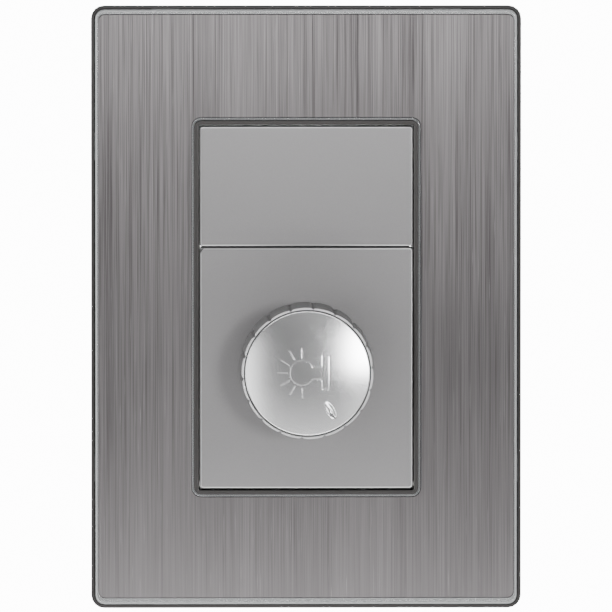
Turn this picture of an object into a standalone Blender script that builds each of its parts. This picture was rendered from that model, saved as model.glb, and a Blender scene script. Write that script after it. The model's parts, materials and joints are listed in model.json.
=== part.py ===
"""Rotary dimmer on a three-module wall plate.

The model is in metres with +Z up. The wall is the plane y = 0, the room is on the -Y side, and the
origin is the middle of the plate on the wall. Sizes below are in millimetres and are scaled once,
where points are placed in space.
"""

import math

import bmesh
import bpy
from mathutils import Matrix

MM = 0.001

# Wall plate: base frame, clear cover and metal facing.
BASE_WIDTH = 85.5
BASE_HEIGHT = 120.0
BASE_CORNER = 2.6
LIP_WALL = 0.68
SLOT_GAP = 0.15
SKIRT_WALL = 1.5
SKIRT_DRAW = 0.6
SHEET_MARGIN = 0.6
SHEET_HEIGHT = 116.2
SHEET_RISE = 0.2
SHEET_THICKNESS = 0.5
TAB_WIDTH = 5.5
TAB_OFFSET_X = 28.0
TAB_OFFSET_Z = 32.0
POST_X = 34.5
POST_Z = 48.0

# Window and the modules behind it.
MODULE_PITCH = 24.1
WINDOW_WIDTH = 42.75
WINDOW_HEIGHT = 72.7
COLLAR_WALL = 0.87
COLLAR_EDGE = 0.12
WINDOW_CLEARANCE = 0.06
FACE_WIDTH = 42.3
FACE_GAP = 0.3
BODY_WIDTH = 41.4
BODY_INSET = 1.3
BODY_WALL = 1.4
LUG_Z = -35.05
DIMMER_Z = -MODULE_PITCH / 2
BLANK_Z = MODULE_PITCH

# Depths along Y; negative is towards the room.
COLLAR_FRONT = -9.4
FACE_FRONT = -9.0
COVER_FRONT = -8.2
LIP_FRONT = -6.8
COVER_BACK = -5.2
WEB_FRONT = -5.0
WEB_BACK = -3.8
MODULE_STEP = -3.3
YOKE_RIM_FRONT = -3.2
YOKE_FRONT = -1.5
FRAME_BACK = 2.0
HOUSING_FRONT = 2.3
BOARD_FRONT = 9.0
BOARD_BACK = 10.6
HOUSING_FLOOR = 32.4
HOUSING_BACK = 34.0

# Yoke and its screws.
YOKE_WIDTH = 58.0
YOKE_HEIGHT = 108.0
YOKE_OPENING_WIDTH = 41.9
YOKE_OPENING_HEIGHT = 71.2
HOOK_Z = 20.5
BOX_SCREW_Z = 83.3 / 2

# Knob and potentiometer.
KNOB_RADIUS = 13.25
KNOB_BACK = -9.4
KNOB_FRONT = -26.4
KNOB_LOBES = 18
CAP_RADIUS = 12.35
CAP_RISE = 0.85
GROOVE_DEPTH = 0.55
GROOVE_PHASE = 85.0
SHAFT_RADIUS = 3.0
SHAFT_BORE = 3.1
HUB_BACK = -13.0
PIVOT_RADIUS = 1.3
POT_PIN_Z = DIMMER_Z - 9.8
POT_PIN_SPACING = (-4.0, 0.0, 4.0)
POINTER_RADIUS = 8.5
POINTER_ANGLE = -58.8

# Dimmer case and the parts on its board.
HOUSING_WIDTH = 41.2
HOUSING_HEIGHT = 46.4
BOARD_WIDTH = 37.4
BOARD_HEIGHT = 42.6
CASE_SCREW_X = 16.0
CASE_SCREW_Z = 14.5
CASE_SCREW_HOLE = 1.45
SINK_TOP = DIMMER_Z + 21.2
PAD_LOW = DIMMER_Z + 19.3
TRIAC_TOP = DIMMER_Z + 19.2
TRIAC_SCREW_Y = 26.3
CHOKE_X = -7.2
CHOKE_Z = DIMMER_Z + 3.2
FUSE_Y = 15.0
FUSE_Z = DIMMER_Z - 9.0
WIRE_RADIUS = 0.3

# Rising clamps.
TERMINAL_PITCH = 8.6
CLAMP_Y = 25.5
WIRE_ENTRY_Z = DIMMER_Z - 14.5
BLOCK_LOW = DIMMER_Z - 21.0
CHAMBER_LOW = DIMMER_Z - 20.28
CHAMBER_HIGH = DIMMER_Z - 12.2
CAGE_LOW = DIMMER_Z - 18.7
CAGE_HIGH = DIMMER_Z - 12.4

CORNER_STEPS = 4
ROUND_STEPS = 24
SMALL_STEPS = 12


# ---------------------------------------------------------------- shape tools

def rounded_rectangle(width, height, corner, steps=CORNER_STEPS):
    """Outline points of a rectangle with round corners."""
    points = []
    for quarter, (sign_u, sign_v) in enumerate(((1, 1), (-1, 1), (-1, -1), (1, -1))):
        centre_u = sign_u * (width / 2 - corner)
        centre_v = sign_v * (height / 2 - corner)
        for step in range(steps + 1):
            angle = math.radians(90 * quarter + 90 * step / steps)
            points.append((centre_u + corner * math.cos(angle), centre_v + corner * math.sin(angle)))
    return points


def polar_outline(radius_at, angles):
    """Outline points at the given angles in degrees, each at its own radius."""
    points = []
    for angle in angles:
        turn = math.radians(angle)
        points.append((radius_at(angle) * math.cos(turn), radius_at(angle) * math.sin(turn)))
    return points


def circle(radius, steps=ROUND_STEPS):
    """Outline points of a circle."""
    return polar_outline(lambda angle: radius, [360 * step / steps for step in range(steps)])


def placed(outline, axis, along, centre):
    """Puts an outline across an axis, a given way along it, round a centre in the other two."""
    points = []
    for u, v in outline:
        if axis == "x":
            point = (along, centre[0] + u, centre[1] + v)
        elif axis == "y":
            point = (centre[0] + u, along, centre[1] + v)
        else:
            point = (centre[0] + u, centre[1] + v, along)
        points.append(tuple(MM * value for value in point))
    return points


def panel(width, height, corner, y, z=0.0, steps=CORNER_STEPS):
    """Loop of a round-cornered rectangle that faces the room."""
    return placed(rounded_rectangle(width, height, corner, steps), "y", y, (0.0, z))


def turned(axis, centre, profile, steps=ROUND_STEPS):
    """Loops of a turned shape from its profile of (radius, way along the axis)."""
    return [placed(circle(radius, steps), axis, along, centre) for radius, along in profile]


def rod(axis, centre, radius, start, end, steps=SMALL_STEPS):
    """Loops of a plain round rod."""
    return turned(axis, centre, [(radius, start), (radius, end)], steps)


def extruded(outline, x_low, x_high):
    """Loops of an outline of (y, z) points, drawn out along X."""
    return [[(MM * x, MM * y, MM * z) for y, z in outline] for x in (x_low, x_high)]


def block(low, high):
    """Loops of a box between two corners."""
    corners = ((low[0], low[1]), (high[0], low[1]), (high[0], high[1]), (low[0], high[1]))
    return [[(MM * x, MM * y, MM * z) for x, y in corners] for z in (low[2], high[2])]


def mirrored_blocks(low, high):
    """A box and its three copies across the plate's middle."""
    copies = []
    for sign_x in (1, -1):
        for sign_z in (1, -1):
            side = sorted((sign_x * low[0], sign_x * high[0]))
            level = sorted((sign_z * low[2], sign_z * high[2]))
            copies.append(block((side[0], low[1], level[0]), (side[1], high[1], level[1])))
    return copies


def shell(body, loops, closed):
    """Adds the faces that join a row of loops; an open row gets a cap at each end."""
    rings = [[body.verts.new(point) for point in loop] for loop in loops]
    pairs = list(zip(rings, rings[1:]))
    if closed:
        pairs.append((rings[-1], rings[0]))
    count = len(rings[0])
    for first, second in pairs:
        for index in range(count):
            after = (index + 1) % count
            body.faces.new((first[index], first[after], second[after], second[index]))
    if not closed:
        body.faces.new(rings[0])
        body.faces.new(rings[-1])


def build(name, shapes, finish=None, closed=False):
    """Makes one object from a list of shapes, each a row of loops."""
    body = bmesh.new()
    for loops in shapes:
        shell(body, loops, closed)
    bmesh.ops.recalc_face_normals(body, faces=body.faces)
    mesh = bpy.data.meshes.new(name)
    body.to_mesh(mesh)
    body.free()
    mesh.shade_smooth()
    mesh.set_sharp_from_angle(angle=math.radians(35))
    piece = bpy.data.objects.new(name, mesh)
    bpy.context.scene.collection.objects.link(piece)
    if finish is not None:
        mesh.materials.append(finish)
    return piece


def combine(piece, operation, shapes, closed=False):
    """Joins shapes to a piece or cuts them out of it, through a hidden helper."""
    helper = build(f"{piece.name}.{operation.lower()}", shapes, closed=closed)
    helper.hide_render = True
    helper.display_type = "WIRE"
    modifier = piece.modifiers.new(operation.title(), "BOOLEAN")
    modifier.operation = operation
    modifier.object = helper
    modifier.solver = "EXACT"


def finish_of(name, colour, roughness, metallic=0.0, alpha=1.0):
    """A plain surface finish."""
    material = bpy.data.materials.new(name)
    material.use_nodes = True
    shader = material.node_tree.nodes["Principled BSDF"]
    shader.inputs["Base Color"].default_value = (*colour, 1.0)
    shader.inputs["Roughness"].default_value = roughness
    shader.inputs["Metallic"].default_value = metallic
    shader.inputs["Alpha"].default_value = alpha
    return material


def hang_on_pivot(name, place, pieces):
    """Parents the pieces that move together to an empty on their joint's axis."""
    pivot = bpy.data.objects.new(name, None)
    pivot.location = [MM * value for value in place]
    pivot.empty_display_size = 0.01
    bpy.context.scene.collection.objects.link(pivot)
    for piece in pieces:
        piece.parent = pivot
        piece.matrix_parent_inverse = Matrix.Translation(pivot.location).inverted()


def make_finishes():
    """Every finish used, by name."""
    return {
        "charcoal": finish_of("charcoal_plastic", (0.035, 0.035, 0.037), 0.45),
        "acrylic": finish_of("clear_acrylic", (0.85, 0.87, 0.88), 0.08, alpha=0.4),
        "sheet": finish_of("brushed_sheet_metal", (0.24, 0.235, 0.23), 0.34, 1.0),
        "silver": finish_of("silver_paint", (0.42, 0.42, 0.43), 0.42, 0.6),
        "cap": finish_of("satin_cap", (0.58, 0.58, 0.59), 0.3, 1.0),
        "steel": finish_of("plated_steel", (0.62, 0.63, 0.64), 0.35, 1.0),
        "zinc": finish_of("cast_zinc", (0.5, 0.51, 0.52), 0.45, 1.0),
        "aluminium": finish_of("aluminium", (0.7, 0.71, 0.72), 0.4, 1.0),
        "brass": finish_of("brass", (0.72, 0.55, 0.27), 0.35, 1.0),
        "light": finish_of("light_nylon", (0.72, 0.72, 0.70), 0.5),
        "black": finish_of("black_plastic", (0.02, 0.02, 0.021), 0.5),
        "board": finish_of("board_laminate", (0.05, 0.16, 0.08), 0.5),
        "phenolic": finish_of("phenolic", (0.24, 0.12, 0.05), 0.6),
        "ferrite": finish_of("ferrite", (0.09, 0.10, 0.09), 0.7),
        "copper": finish_of("enamelled_copper", (0.55, 0.2, 0.07), 0.3, 1.0),
        "yellow": finish_of("yellow_case", (0.62, 0.46, 0.06), 0.45),
        "ceramic": finish_of("resistor_coat", (0.50, 0.42, 0.28), 0.55),
        "pad": finish_of("thermal_pad", (0.45, 0.47, 0.5), 0.8),
        "glass": finish_of("fuse_glass", (0.8, 0.85, 0.85), 0.05, alpha=0.5),
    }


# ---------------------------------------------------------------- wall plate

def make_base_frame(finish):
    """Dark frame: skirt, web, outer lip and the collar round the window, with hooks for the yoke."""
    lip_width = BASE_WIDTH - 2 * LIP_WALL
    lip_height = BASE_HEIGHT - 2 * LIP_WALL
    collar_width = WINDOW_WIDTH + 2 * COLLAR_WALL
    collar_height = WINDOW_HEIGHT + 2 * COLLAR_WALL
    skirt_width = BASE_WIDTH - 2 * SKIRT_WALL
    skirt_height = BASE_HEIGHT - 2 * SKIRT_WALL
    edge = 0.3
    draw = 2 * SKIRT_DRAW
    loops = [
        panel(BASE_WIDTH - draw, BASE_HEIGHT - draw, BASE_CORNER - SKIRT_DRAW, 0.0),
        panel(BASE_WIDTH, BASE_HEIGHT, BASE_CORNER, LIP_FRONT + edge),
        panel(BASE_WIDTH - edge, BASE_HEIGHT - edge, BASE_CORNER - edge / 2, LIP_FRONT),
        panel(lip_width, lip_height, BASE_CORNER - LIP_WALL, LIP_FRONT),
        panel(lip_width, lip_height, BASE_CORNER - LIP_WALL, WEB_FRONT),
        panel(collar_width, collar_height, 1.25, WEB_FRONT),
        panel(collar_width, collar_height, 1.25, COLLAR_FRONT + COLLAR_EDGE),
        panel(collar_width - 2 * COLLAR_EDGE, collar_height - 2 * COLLAR_EDGE, 1.15, COLLAR_FRONT),
        panel(WINDOW_WIDTH + 2 * COLLAR_EDGE, WINDOW_HEIGHT + 2 * COLLAR_EDGE, 0.5, COLLAR_FRONT),
        panel(WINDOW_WIDTH, WINDOW_HEIGHT, 0.4, COLLAR_FRONT + COLLAR_EDGE),
        panel(WINDOW_WIDTH, WINDOW_HEIGHT, 0.4, WEB_BACK),
        panel(skirt_width, skirt_height, 1.4, WEB_BACK),
        panel(skirt_width, skirt_height, 1.4, 0.0),
    ]
    frame = build("base_frame", [loops], finish, closed=True)
    hook = YOKE_WIDTH / 2 + 0.4
    hooks = mirrored_blocks((hook, WEB_BACK - 0.4, HOOK_Z - 3.5), (hook + 1.3, -0.3, HOOK_Z + 3.5))
    combine(frame, "UNION", hooks)
    combine(frame, "DIFFERENCE", post_blocks(2.8, 1.2, WEB_FRONT - 1.0, WEB_BACK + 0.8))
    return frame


def post_blocks(half_width, half_height, front, back):
    """Boxes at the four places where the cover's posts pass the frame."""
    return mirrored_blocks((POST_X - half_width, front, POST_Z - half_height),
                           (POST_X + half_width, back, POST_Z + half_height))


def make_cover_plate(finish):
    """Clear plate with a recess for the metal facing, eight snap tabs and four snap posts."""
    width = BASE_WIDTH - 2 * LIP_WALL - 2 * SLOT_GAP
    height = BASE_HEIGHT - 2 * LIP_WALL - 2 * SLOT_GAP
    window_width = WINDOW_WIDTH + 2 * (COLLAR_WALL + WINDOW_CLEARANCE)
    window_height = WINDOW_HEIGHT + 2 * (COLLAR_WALL + WINDOW_CLEARANCE)
    rim = 0.34
    recess_width = width - 2 * SHEET_MARGIN + 0.1
    recess_height = SHEET_HEIGHT + 0.1
    recess_floor = COVER_FRONT + SHEET_THICKNESS
    loops = [
        panel(width, height, 1.8, COVER_BACK),
        panel(width, height, 1.8, COVER_FRONT + 0.5),
        panel(width - 0.2, height - 0.2, 1.75, COVER_FRONT + 0.2),
        panel(width - 0.6, height - 0.6, 1.6, COVER_FRONT),
        panel(recess_width, recess_height, 1.3, COVER_FRONT, SHEET_RISE),
        panel(recess_width, recess_height, 1.3, recess_floor, SHEET_RISE),
        panel(window_width + 2 * rim, window_height + 2 * rim, 1.7, recess_floor),
        panel(window_width + 2 * rim, window_height + 2 * rim, 1.7, COVER_FRONT),
        panel(window_width, window_height, 1.4, COVER_FRONT),
        panel(window_width, window_height, 1.4, COVER_BACK),
    ]
    plate = build("cover_plate", [loops], finish, closed=True)
    reach = SLOT_GAP - 0.06
    half = TAB_WIDTH / 2
    front = LIP_FRONT + 0.3
    back = COVER_BACK - 0.2
    ends = mirrored_blocks(
        (TAB_OFFSET_X - half, front, height / 2 - 0.4), (TAB_OFFSET_X + half, back, height / 2 + reach))
    sides = mirrored_blocks(
        (width / 2 - 0.4, front, TAB_OFFSET_Z - half), (width / 2 + reach, back, TAB_OFFSET_Z + half))
    combine(plate, "UNION", ends + sides + post_blocks(2.3, 0.7, COVER_BACK - 0.4, WEB_BACK + 0.9))
    return plate


def make_brushed_sheet(finish):
    """Thin metal facing that lies in the cover's recess."""
    width = BASE_WIDTH - 2 * LIP_WALL - 2 * SLOT_GAP - 2 * SHEET_MARGIN
    window_width = WINDOW_WIDTH + 2 * (COLLAR_WALL + WINDOW_CLEARANCE) + 0.78
    window_height = WINDOW_HEIGHT + 2 * (COLLAR_WALL + WINDOW_CLEARANCE) + 0.78
    edge = 0.1
    back = COVER_FRONT + SHEET_THICKNESS - 0.05
    front = back - SHEET_THICKNESS
    loops = [
        panel(width, SHEET_HEIGHT, 1.25, back, SHEET_RISE),
        panel(width, SHEET_HEIGHT, 1.25, front + edge, SHEET_RISE),
        panel(width - 2 * edge, SHEET_HEIGHT - 2 * edge, 1.15, front, SHEET_RISE),
        panel(window_width + 2 * edge, window_height + 2 * edge, 1.8, front),
        panel(window_width, window_height, 1.75, front + edge),
        panel(window_width, window_height, 1.75, back),
    ]
    return build("brushed_sheet", [loops], finish, closed=True)


def make_yoke(finish):
    """Steel support frame with a drawn rim, two box-screw slots and two wall holes."""
    rim = 1.3
    loops = [
        panel(YOKE_WIDTH, YOKE_HEIGHT, 4.0, 0.0),
        panel(YOKE_WIDTH, YOKE_HEIGHT, 4.0, YOKE_FRONT),
        panel(YOKE_OPENING_WIDTH + 2 * rim, YOKE_OPENING_HEIGHT + 2 * rim, 1.5, YOKE_FRONT),
        panel(YOKE_OPENING_WIDTH + 2 * rim, YOKE_OPENING_HEIGHT + 2 * rim, 1.5, YOKE_RIM_FRONT),
        panel(YOKE_OPENING_WIDTH, YOKE_OPENING_HEIGHT, 0.5, YOKE_RIM_FRONT),
        panel(YOKE_OPENING_WIDTH, YOKE_OPENING_HEIGHT, 0.5, 0.0),
    ]
    yoke = build("yoke", [loops], finish, closed=True)
    slot = rounded_rectangle(8.0, 4.2, 2.0, 4)
    through = (YOKE_RIM_FRONT - 2.0, 3.0)
    holes = []
    for side in (1, -1):
        centre = (0.0, side * BOX_SCREW_Z)
        holes.append([placed(slot, "y", along, centre) for along in through])
        holes.append(rod("y", (side * 25.8, 0.0), 1.7, *through))
    combine(yoke, "DIFFERENCE", holes)
    return yoke


def make_fixing_screw(name, z, finish):
    """Pan-head box screw with a cross recess."""
    head = YOKE_FRONT - 0.05
    profile = [(1.65, 20.0), (1.65, head), (3.2, head), (3.2, head - 0.8), (2.5, head - 1.6)]
    screw = build(name, [turned("y", (0.0, z), profile, 16)], finish)
    cut_cross(screw, "y", (0.0, z), head - 2.0, head - 0.7, 2.0, 0.6)
    return screw


def cut_cross(screw, axis, centre, start, end, reach, width):
    """Cuts a cross recess into a screw head."""
    bars = []
    for size in ((reach, width / 2), (width / 2, reach)):
        low = {"y": (centre[0] - size[0], start, centre[1] - size[1]),
               "z": (centre[0] - size[0], centre[1] - size[1], start)}[axis]
        high = {"y": (centre[0] + size[0], end, centre[1] + size[1]),
                "z": (centre[0] + size[0], centre[1] + size[1], end)}[axis]
        bars.append(block(low, high))
    for bar in bars:
        combine(screw, "DIFFERENCE", [bar])


# ---------------------------------------------------------------- modules in the window

def module_cup(height, z, back, floor):
    """Loops of a module: front face, wide front part and narrower body, hollow from the back."""
    body_height = height - BODY_INSET
    inner_width = BODY_WIDTH - 2 * BODY_WALL
    inner_height = body_height - 2 * BODY_WALL
    return [
        panel(inner_width, inner_height, 0.5, floor, z, 3),
        panel(inner_width, inner_height, 0.5, back, z, 3),
        panel(BODY_WIDTH, body_height, 0.8, back, z, 3),
        panel(BODY_WIDTH, body_height, 0.8, MODULE_STEP, z, 3),
        panel(FACE_WIDTH - 0.2, height, 0.5, MODULE_STEP, z, 3),
    ]


def latches(z, spacing):
    """Wedges on a module's sides that hook behind the yoke."""
    inner = BODY_WIDTH / 2 - 0.5
    outer = BODY_WIDTH / 2 + 1.0
    wedges = []
    for offset in spacing:
        for side in (1, -1):
            reach = sorted((side * inner, side * outer))
            wedges.append(block((reach[0], 0.12, z + offset - 2.0), (reach[1], 1.5, z + offset + 2.0)))
    return wedges


def make_blank_module(finish):
    """One-module blank insert."""
    height = MODULE_PITCH - FACE_GAP
    loops = module_cup(height, BLANK_Z, 7.0, FACE_FRONT + 1.8)
    loops += [
        panel(FACE_WIDTH, height, 0.5, MODULE_STEP - 2.7, BLANK_Z, 3),
        panel(FACE_WIDTH, height, 0.5, FACE_FRONT + 0.3, BLANK_Z, 3),
        panel(FACE_WIDTH - 0.2, height - 0.2, 0.4, FACE_FRONT + 0.08, BLANK_Z, 3),
        panel(FACE_WIDTH - 0.6, height - 0.6, 0.3, FACE_FRONT, BLANK_Z, 3),
    ]
    blank = build("blank_module", [loops], finish)
    body_low = BLANK_Z - (height - BODY_INSET) / 2
    joint_rib = block((0.05 - BODY_WIDTH / 2, MODULE_STEP + 0.4, body_low - BODY_INSET - 0.15),
                      (BODY_WIDTH / 2 - 0.05, MODULE_STEP + 1.4, body_low + 0.7))
    combine(blank, "UNION", latches(BLANK_Z, (0.0,)) + [joint_rib])
    return blank


def lug_blocks(inner, outer, half_height, front):
    """Small boxes at the lower corners of the dimmer's face, one each side."""
    return [block((min(side * inner, side * outer), front, LUG_Z - half_height),
                  (max(side * inner, side * outer), -5.5, LUG_Z + half_height)) for side in (1, -1)]


def make_dimmer_face(finish):
    """Two-module painted face over the module frame, with the shaft hole and one corner cut for prying."""
    height = 2 * MODULE_PITCH - FACE_GAP
    wall = 2.2
    loops = [
        panel(FACE_WIDTH - wall, height - wall, 0.5, FACE_FRONT + 1.6, DIMMER_Z, 3),
        panel(FACE_WIDTH - wall, height - wall, 0.5, -6.0, DIMMER_Z, 3),
        panel(FACE_WIDTH, height, 0.6, -6.0, DIMMER_Z, 3),
        panel(FACE_WIDTH, height, 0.6, FACE_FRONT + 0.3, DIMMER_Z, 3),
        panel(FACE_WIDTH - 0.2, height - 0.2, 0.5, FACE_FRONT + 0.08, DIMMER_Z, 3),
        panel(FACE_WIDTH - 0.6, height - 0.6, 0.4, FACE_FRONT, DIMMER_Z, 3),
    ]
    face = build("dimmer_face", [loops], finish)
    notches = lug_blocks(FACE_WIDTH / 2 - 0.4, FACE_WIDTH / 2 + 1.0, 0.55, FACE_FRONT + 0.4)
    shaft_hole = rod("y", (0.0, DIMMER_Z), 7.6, FACE_FRONT - 3.0, -5.0, 28)
    corner = (-FACE_WIDTH / 2, DIMMER_Z + height / 2)
    corner_cut = ((-0.5, -2.0), (1.2, 0.5), (-0.5, 0.5))
    pry_notch = [placed(corner_cut, "y", y, corner) for y in (FACE_FRONT - 1.0, FACE_FRONT + 1.2)]
    combine(face, "DIFFERENCE", notches + [shaft_hole, pry_notch])
    return face


def make_module_frame(finish):
    """Moulded frame of the dimmer that carries the face, the potentiometer and the latches."""
    height = 2 * MODULE_PITCH - FACE_GAP
    loops = module_cup(height, DIMMER_Z, FRAME_BACK, -5.6)
    loops += [
        panel(FACE_WIDTH - 0.2, height, 0.5, -5.8, DIMMER_Z, 3),
        panel(FACE_WIDTH - 2.6, height - 2.6, 0.4, -5.8, DIMMER_Z, 3),
        panel(FACE_WIDTH - 2.6, height - 2.6, 0.4, -7.1, DIMMER_Z, 3),
    ]
    frame = build("module_frame", [loops], finish)
    lugs = lug_blocks(FACE_WIDTH / 2 - 0.3, FACE_WIDTH / 2 + 0.15, 0.4, FACE_FRONT + 0.45)
    bosses = [rod("y", place, 2.8, -6.2, FRAME_BACK - 0.1) for place in case_screw_places()]
    combine(frame, "UNION", latches(DIMMER_Z, (9.0, -9.0)) + lugs + bosses)
    holes = [rod("y", place, CASE_SCREW_HOLE, -4.4, 4.0) for place in case_screw_places()]
    combine(frame, "DIFFERENCE", holes + [rod("y", (0.0, DIMMER_Z), 3.7, -9.0, -4.0, 24)])
    return frame


# ---------------------------------------------------------------- dimmer case

def case_screw_places():
    """Where the two long screws cross the dimmer, as (x, z)."""
    return ((-CASE_SCREW_X, DIMMER_Z + CASE_SCREW_Z), (CASE_SCREW_X, DIMMER_Z - CASE_SCREW_Z))


def terminal_columns():
    """X of the three terminals."""
    return (-TERMINAL_PITCH, 0.0, TERMINAL_PITCH)


def make_rear_housing(finish):
    """Deep moulded cup behind the module frame, with vents, wire entries and screw access."""
    wall = 3.0
    width = HOUSING_WIDTH
    height = HOUSING_HEIGHT
    loops = [
        panel(width - wall, height - wall, 0.5, HOUSING_FLOOR, DIMMER_Z, 3),
        panel(width - wall, height - wall, 0.5, HOUSING_FRONT, DIMMER_Z, 3),
        panel(width, height, 0.9, HOUSING_FRONT, DIMMER_Z, 3),
        panel(width, height, 0.9, HOUSING_BACK - 0.6, DIMMER_Z, 3),
        panel(width - 1.2, height - 1.2, 0.6, HOUSING_BACK, DIMMER_Z, 3),
    ]
    housing = build("rear_housing", [loops], finish)
    through = (HOUSING_FLOOR - 1, HOUSING_BACK + 1)
    openings = vent_slots(through)
    for x in terminal_columns():
        openings.append(rod("y", (x, WIRE_ENTRY_Z), 2.2, *through))
        openings.append(rod("z", (x, CLAMP_Y), 2.5, DIMMER_Z - 26, DIMMER_Z - 20))
    for place in case_screw_places():
        openings.append(rod("y", place, CASE_SCREW_HOLE, *through))
    combine(housing, "DIFFERENCE", openings)
    return housing


def vent_slots(through):
    """A row of slots in the housing's back wall and one in its top wall."""
    half = 0.8
    slots = []
    for column in range(7):
        x = 3.6 * (column - 3)
        slots.append(block((x - half, through[0], DIMMER_Z + 4), (x + half, through[1], DIMMER_Z + 14)))
        slots.append(block((x - half, 14.0, DIMMER_Z + 20), (x + half, 28.0, DIMMER_Z + 25)))
    return slots


def make_case_screw(name, place, finish):
    """Long screw that holds the rear housing to the module frame."""
    seat = HOUSING_BACK + 0.05
    profile = [(1.0, -3.6), (1.3, -2.8), (1.3, seat), (2.6, seat), (2.6, seat + 0.7), (1.9, seat + 1.4)]
    screw = build(name, [turned("y", place, profile, 16)], finish)
    cut_cross(screw, "y", place, seat + 0.5, seat + 2.0, 1.5, 0.5)
    return screw


def make_circuit_board(finish):
    """Laminate board with holes for the case screws."""
    loops = [panel(BOARD_WIDTH, BOARD_HEIGHT, 0.6, y, DIMMER_Z, 2) for y in (BOARD_FRONT, BOARD_BACK)]
    board = build("circuit_board", [loops], finish)
    holes = [rod("y", place, 1.8, BOARD_FRONT - 1, BOARD_BACK + 1) for place in case_screw_places()]
    combine(board, "DIFFERENCE", holes)
    return board


# ---------------------------------------------------------------- potentiometer and switch

def make_pot_bushing(finish):
    """Cast front of the potentiometer with its threaded neck."""
    profile = [(3.15, -11.4), (3.2, -11.5), (3.35, -11.5), (3.45, -11.2), (3.45, -5.4), (8.0, -5.4),
               (8.0, -4.2), (3.15, -4.2)]
    return build("pot_bushing", [turned("y", (0.0, DIMMER_Z), profile)], finish, closed=True)


def make_pot_washer(finish):
    """Washer between the module frame and the nut."""
    profile = [(3.6, -7.25), (5.8, -7.25), (5.8, -7.65), (3.6, -7.65)]
    return build("pot_washer", [turned("y", (0.0, DIMMER_Z), profile)], finish, closed=True)


def make_pot_nut(finish):
    """Hexagonal nut on the threaded neck."""
    across_flats = 10.0
    angles = [360 * step / 24 for step in range(24)]

    def hexagon(angle):
        return across_flats / 2 / math.cos(math.radians(angle % 60 - 30))

    centre = (0.0, DIMMER_Z)
    hole = circle(3.55, 24)
    outer = polar_outline(hexagon, angles)
    loops = [placed(hole, "y", -7.7, centre), placed(outer, "y", -7.7, centre),
             placed(outer, "y", -9.7, centre), placed(hole, "y", -9.7, centre)]
    return build("pot_nut", [loops], finish, closed=True)


def make_pot_shaft(finish):
    """Control shaft with a flat at the knob end, a rotor disc and a pivot that drives the switch."""
    tip = KNOB_FRONT + 2.1
    profile = [(SHAFT_RADIUS - 0.4, tip), (SHAFT_RADIUS, tip + 0.4), (SHAFT_RADIUS, -3.9), (6.0, -3.9),
               (6.0, -2.9), (PIVOT_RADIUS, -2.9), (PIVOT_RADIUS, 4.2)]
    shaft = build("pot_shaft", [turned("y", (0.0, DIMMER_Z), profile, 24)], finish)
    flat = block((-4.0, tip - 1, DIMMER_Z + 1.5), (4.0, -13.6, DIMMER_Z + 4.0))
    combine(shaft, "DIFFERENCE", [flat])
    return shaft


def make_pot_wiper(finish):
    """Spring contact that turns with the shaft, with two raised contacts."""
    profile = [(1.35, -2.8), (5.4, -2.8), (5.4, -2.5), (1.35, -2.5)]
    wiper = build("pot_wiper", [turned("y", (0.0, DIMMER_Z), profile)], finish, closed=True)
    contacts = [rod("y", (side * 4.2, DIMMER_Z), 0.5, -2.65, -1.97, 12) for side in (1, -1)]
    combine(wiper, "UNION", contacts)
    return wiper


def make_pot_track(finish):
    """Track wafer with the tongue that carries the pins."""
    profile = [(1.6, -1.9), (7.9, -1.9), (7.9, -1.0), (1.6, -1.0)]
    wafer = build("pot_track", [turned("y", (0.0, DIMMER_Z), profile)], finish, closed=True)
    tongue = block((-6.0, -1.9, DIMMER_Z - 11.5), (6.0, -1.0, DIMMER_Z - 4.0))
    combine(wafer, "UNION", [tongue])
    pins = [rod("y", (x, POT_PIN_Z), 0.5, -3.0, 0.0, 12) for x in POT_PIN_SPACING]
    combine(wafer, "DIFFERENCE", pins)
    return wafer


def make_pot_cover(finish):
    """Drawn steel can round the track, open at the front and notched for the tongue."""
    profile = [(1.7, -0.6), (8.25, -0.6), (8.25, -4.0), (8.7, -4.0), (8.7, 0.0), (1.7, 0.0)]
    cover = build("pot_cover", [turned("y", (0.0, DIMMER_Z), profile)], finish, closed=True)
    combine(cover, "DIFFERENCE", [block((-6.4, -5.0, DIMMER_Z - 12), (6.4, -0.7, DIMMER_Z - 4.5))])
    return cover


def make_switch_housing(finish):
    """Case of the on/off switch that the shaft's pivot works, open towards the potentiometer."""
    low = DIMMER_Z - 8.0
    loops = [
        panel(13.4, 13.4, 0.4, 6.2, DIMMER_Z, 2),
        panel(13.4, 13.4, 0.4, 0.4, DIMMER_Z, 2),
        panel(16.0, 16.0, 0.8, 0.4, DIMMER_Z, 2),
        panel(16.0, 16.0, 0.8, 7.6, DIMMER_Z, 2),
    ]
    housing = build("switch_housing", [loops], finish)
    combine(housing, "DIFFERENCE", [block((-2.0, 2.0, low - 1), (2.0, 5.0, low + 2.0))])
    return housing


def make_switch_cam(finish):
    """Cam on the shaft's pivot, with one lobe."""
    centre = (0.0, DIMMER_Z)
    angles = [360 * step / 32 for step in range(32)]

    def lobed(angle):
        away = min(abs(angle - 250), 360 - abs(angle - 250))
        return 3.6 + 1.3 * math.exp(-(away / 18) ** 2)

    bore = polar_outline(lambda angle: 1.35, angles)
    outer = polar_outline(lobed, angles)
    loops = [placed(bore, "y", 1.4, centre), placed(outer, "y", 1.4, centre),
             placed(outer, "y", 3.6, centre), placed(bore, "y", 3.6, centre)]
    return build("switch_cam", [loops], finish, closed=True)


def make_contact_spring(finish):
    """Leaf contact beside the cam, bent away at its end."""
    blade = block((5.3, 1.2, DIMMER_Z - 5.5), (5.6, 4.2, DIMMER_Z + 5.0))
    spring = build("contact_spring", [blade], finish)
    foot = block((4.2, 1.2, DIMMER_Z + 4.7), (5.45, 4.2, DIMMER_Z + 5.0))
    combine(spring, "UNION", [foot])
    return spring


# ---------------------------------------------------------------- knob

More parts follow.
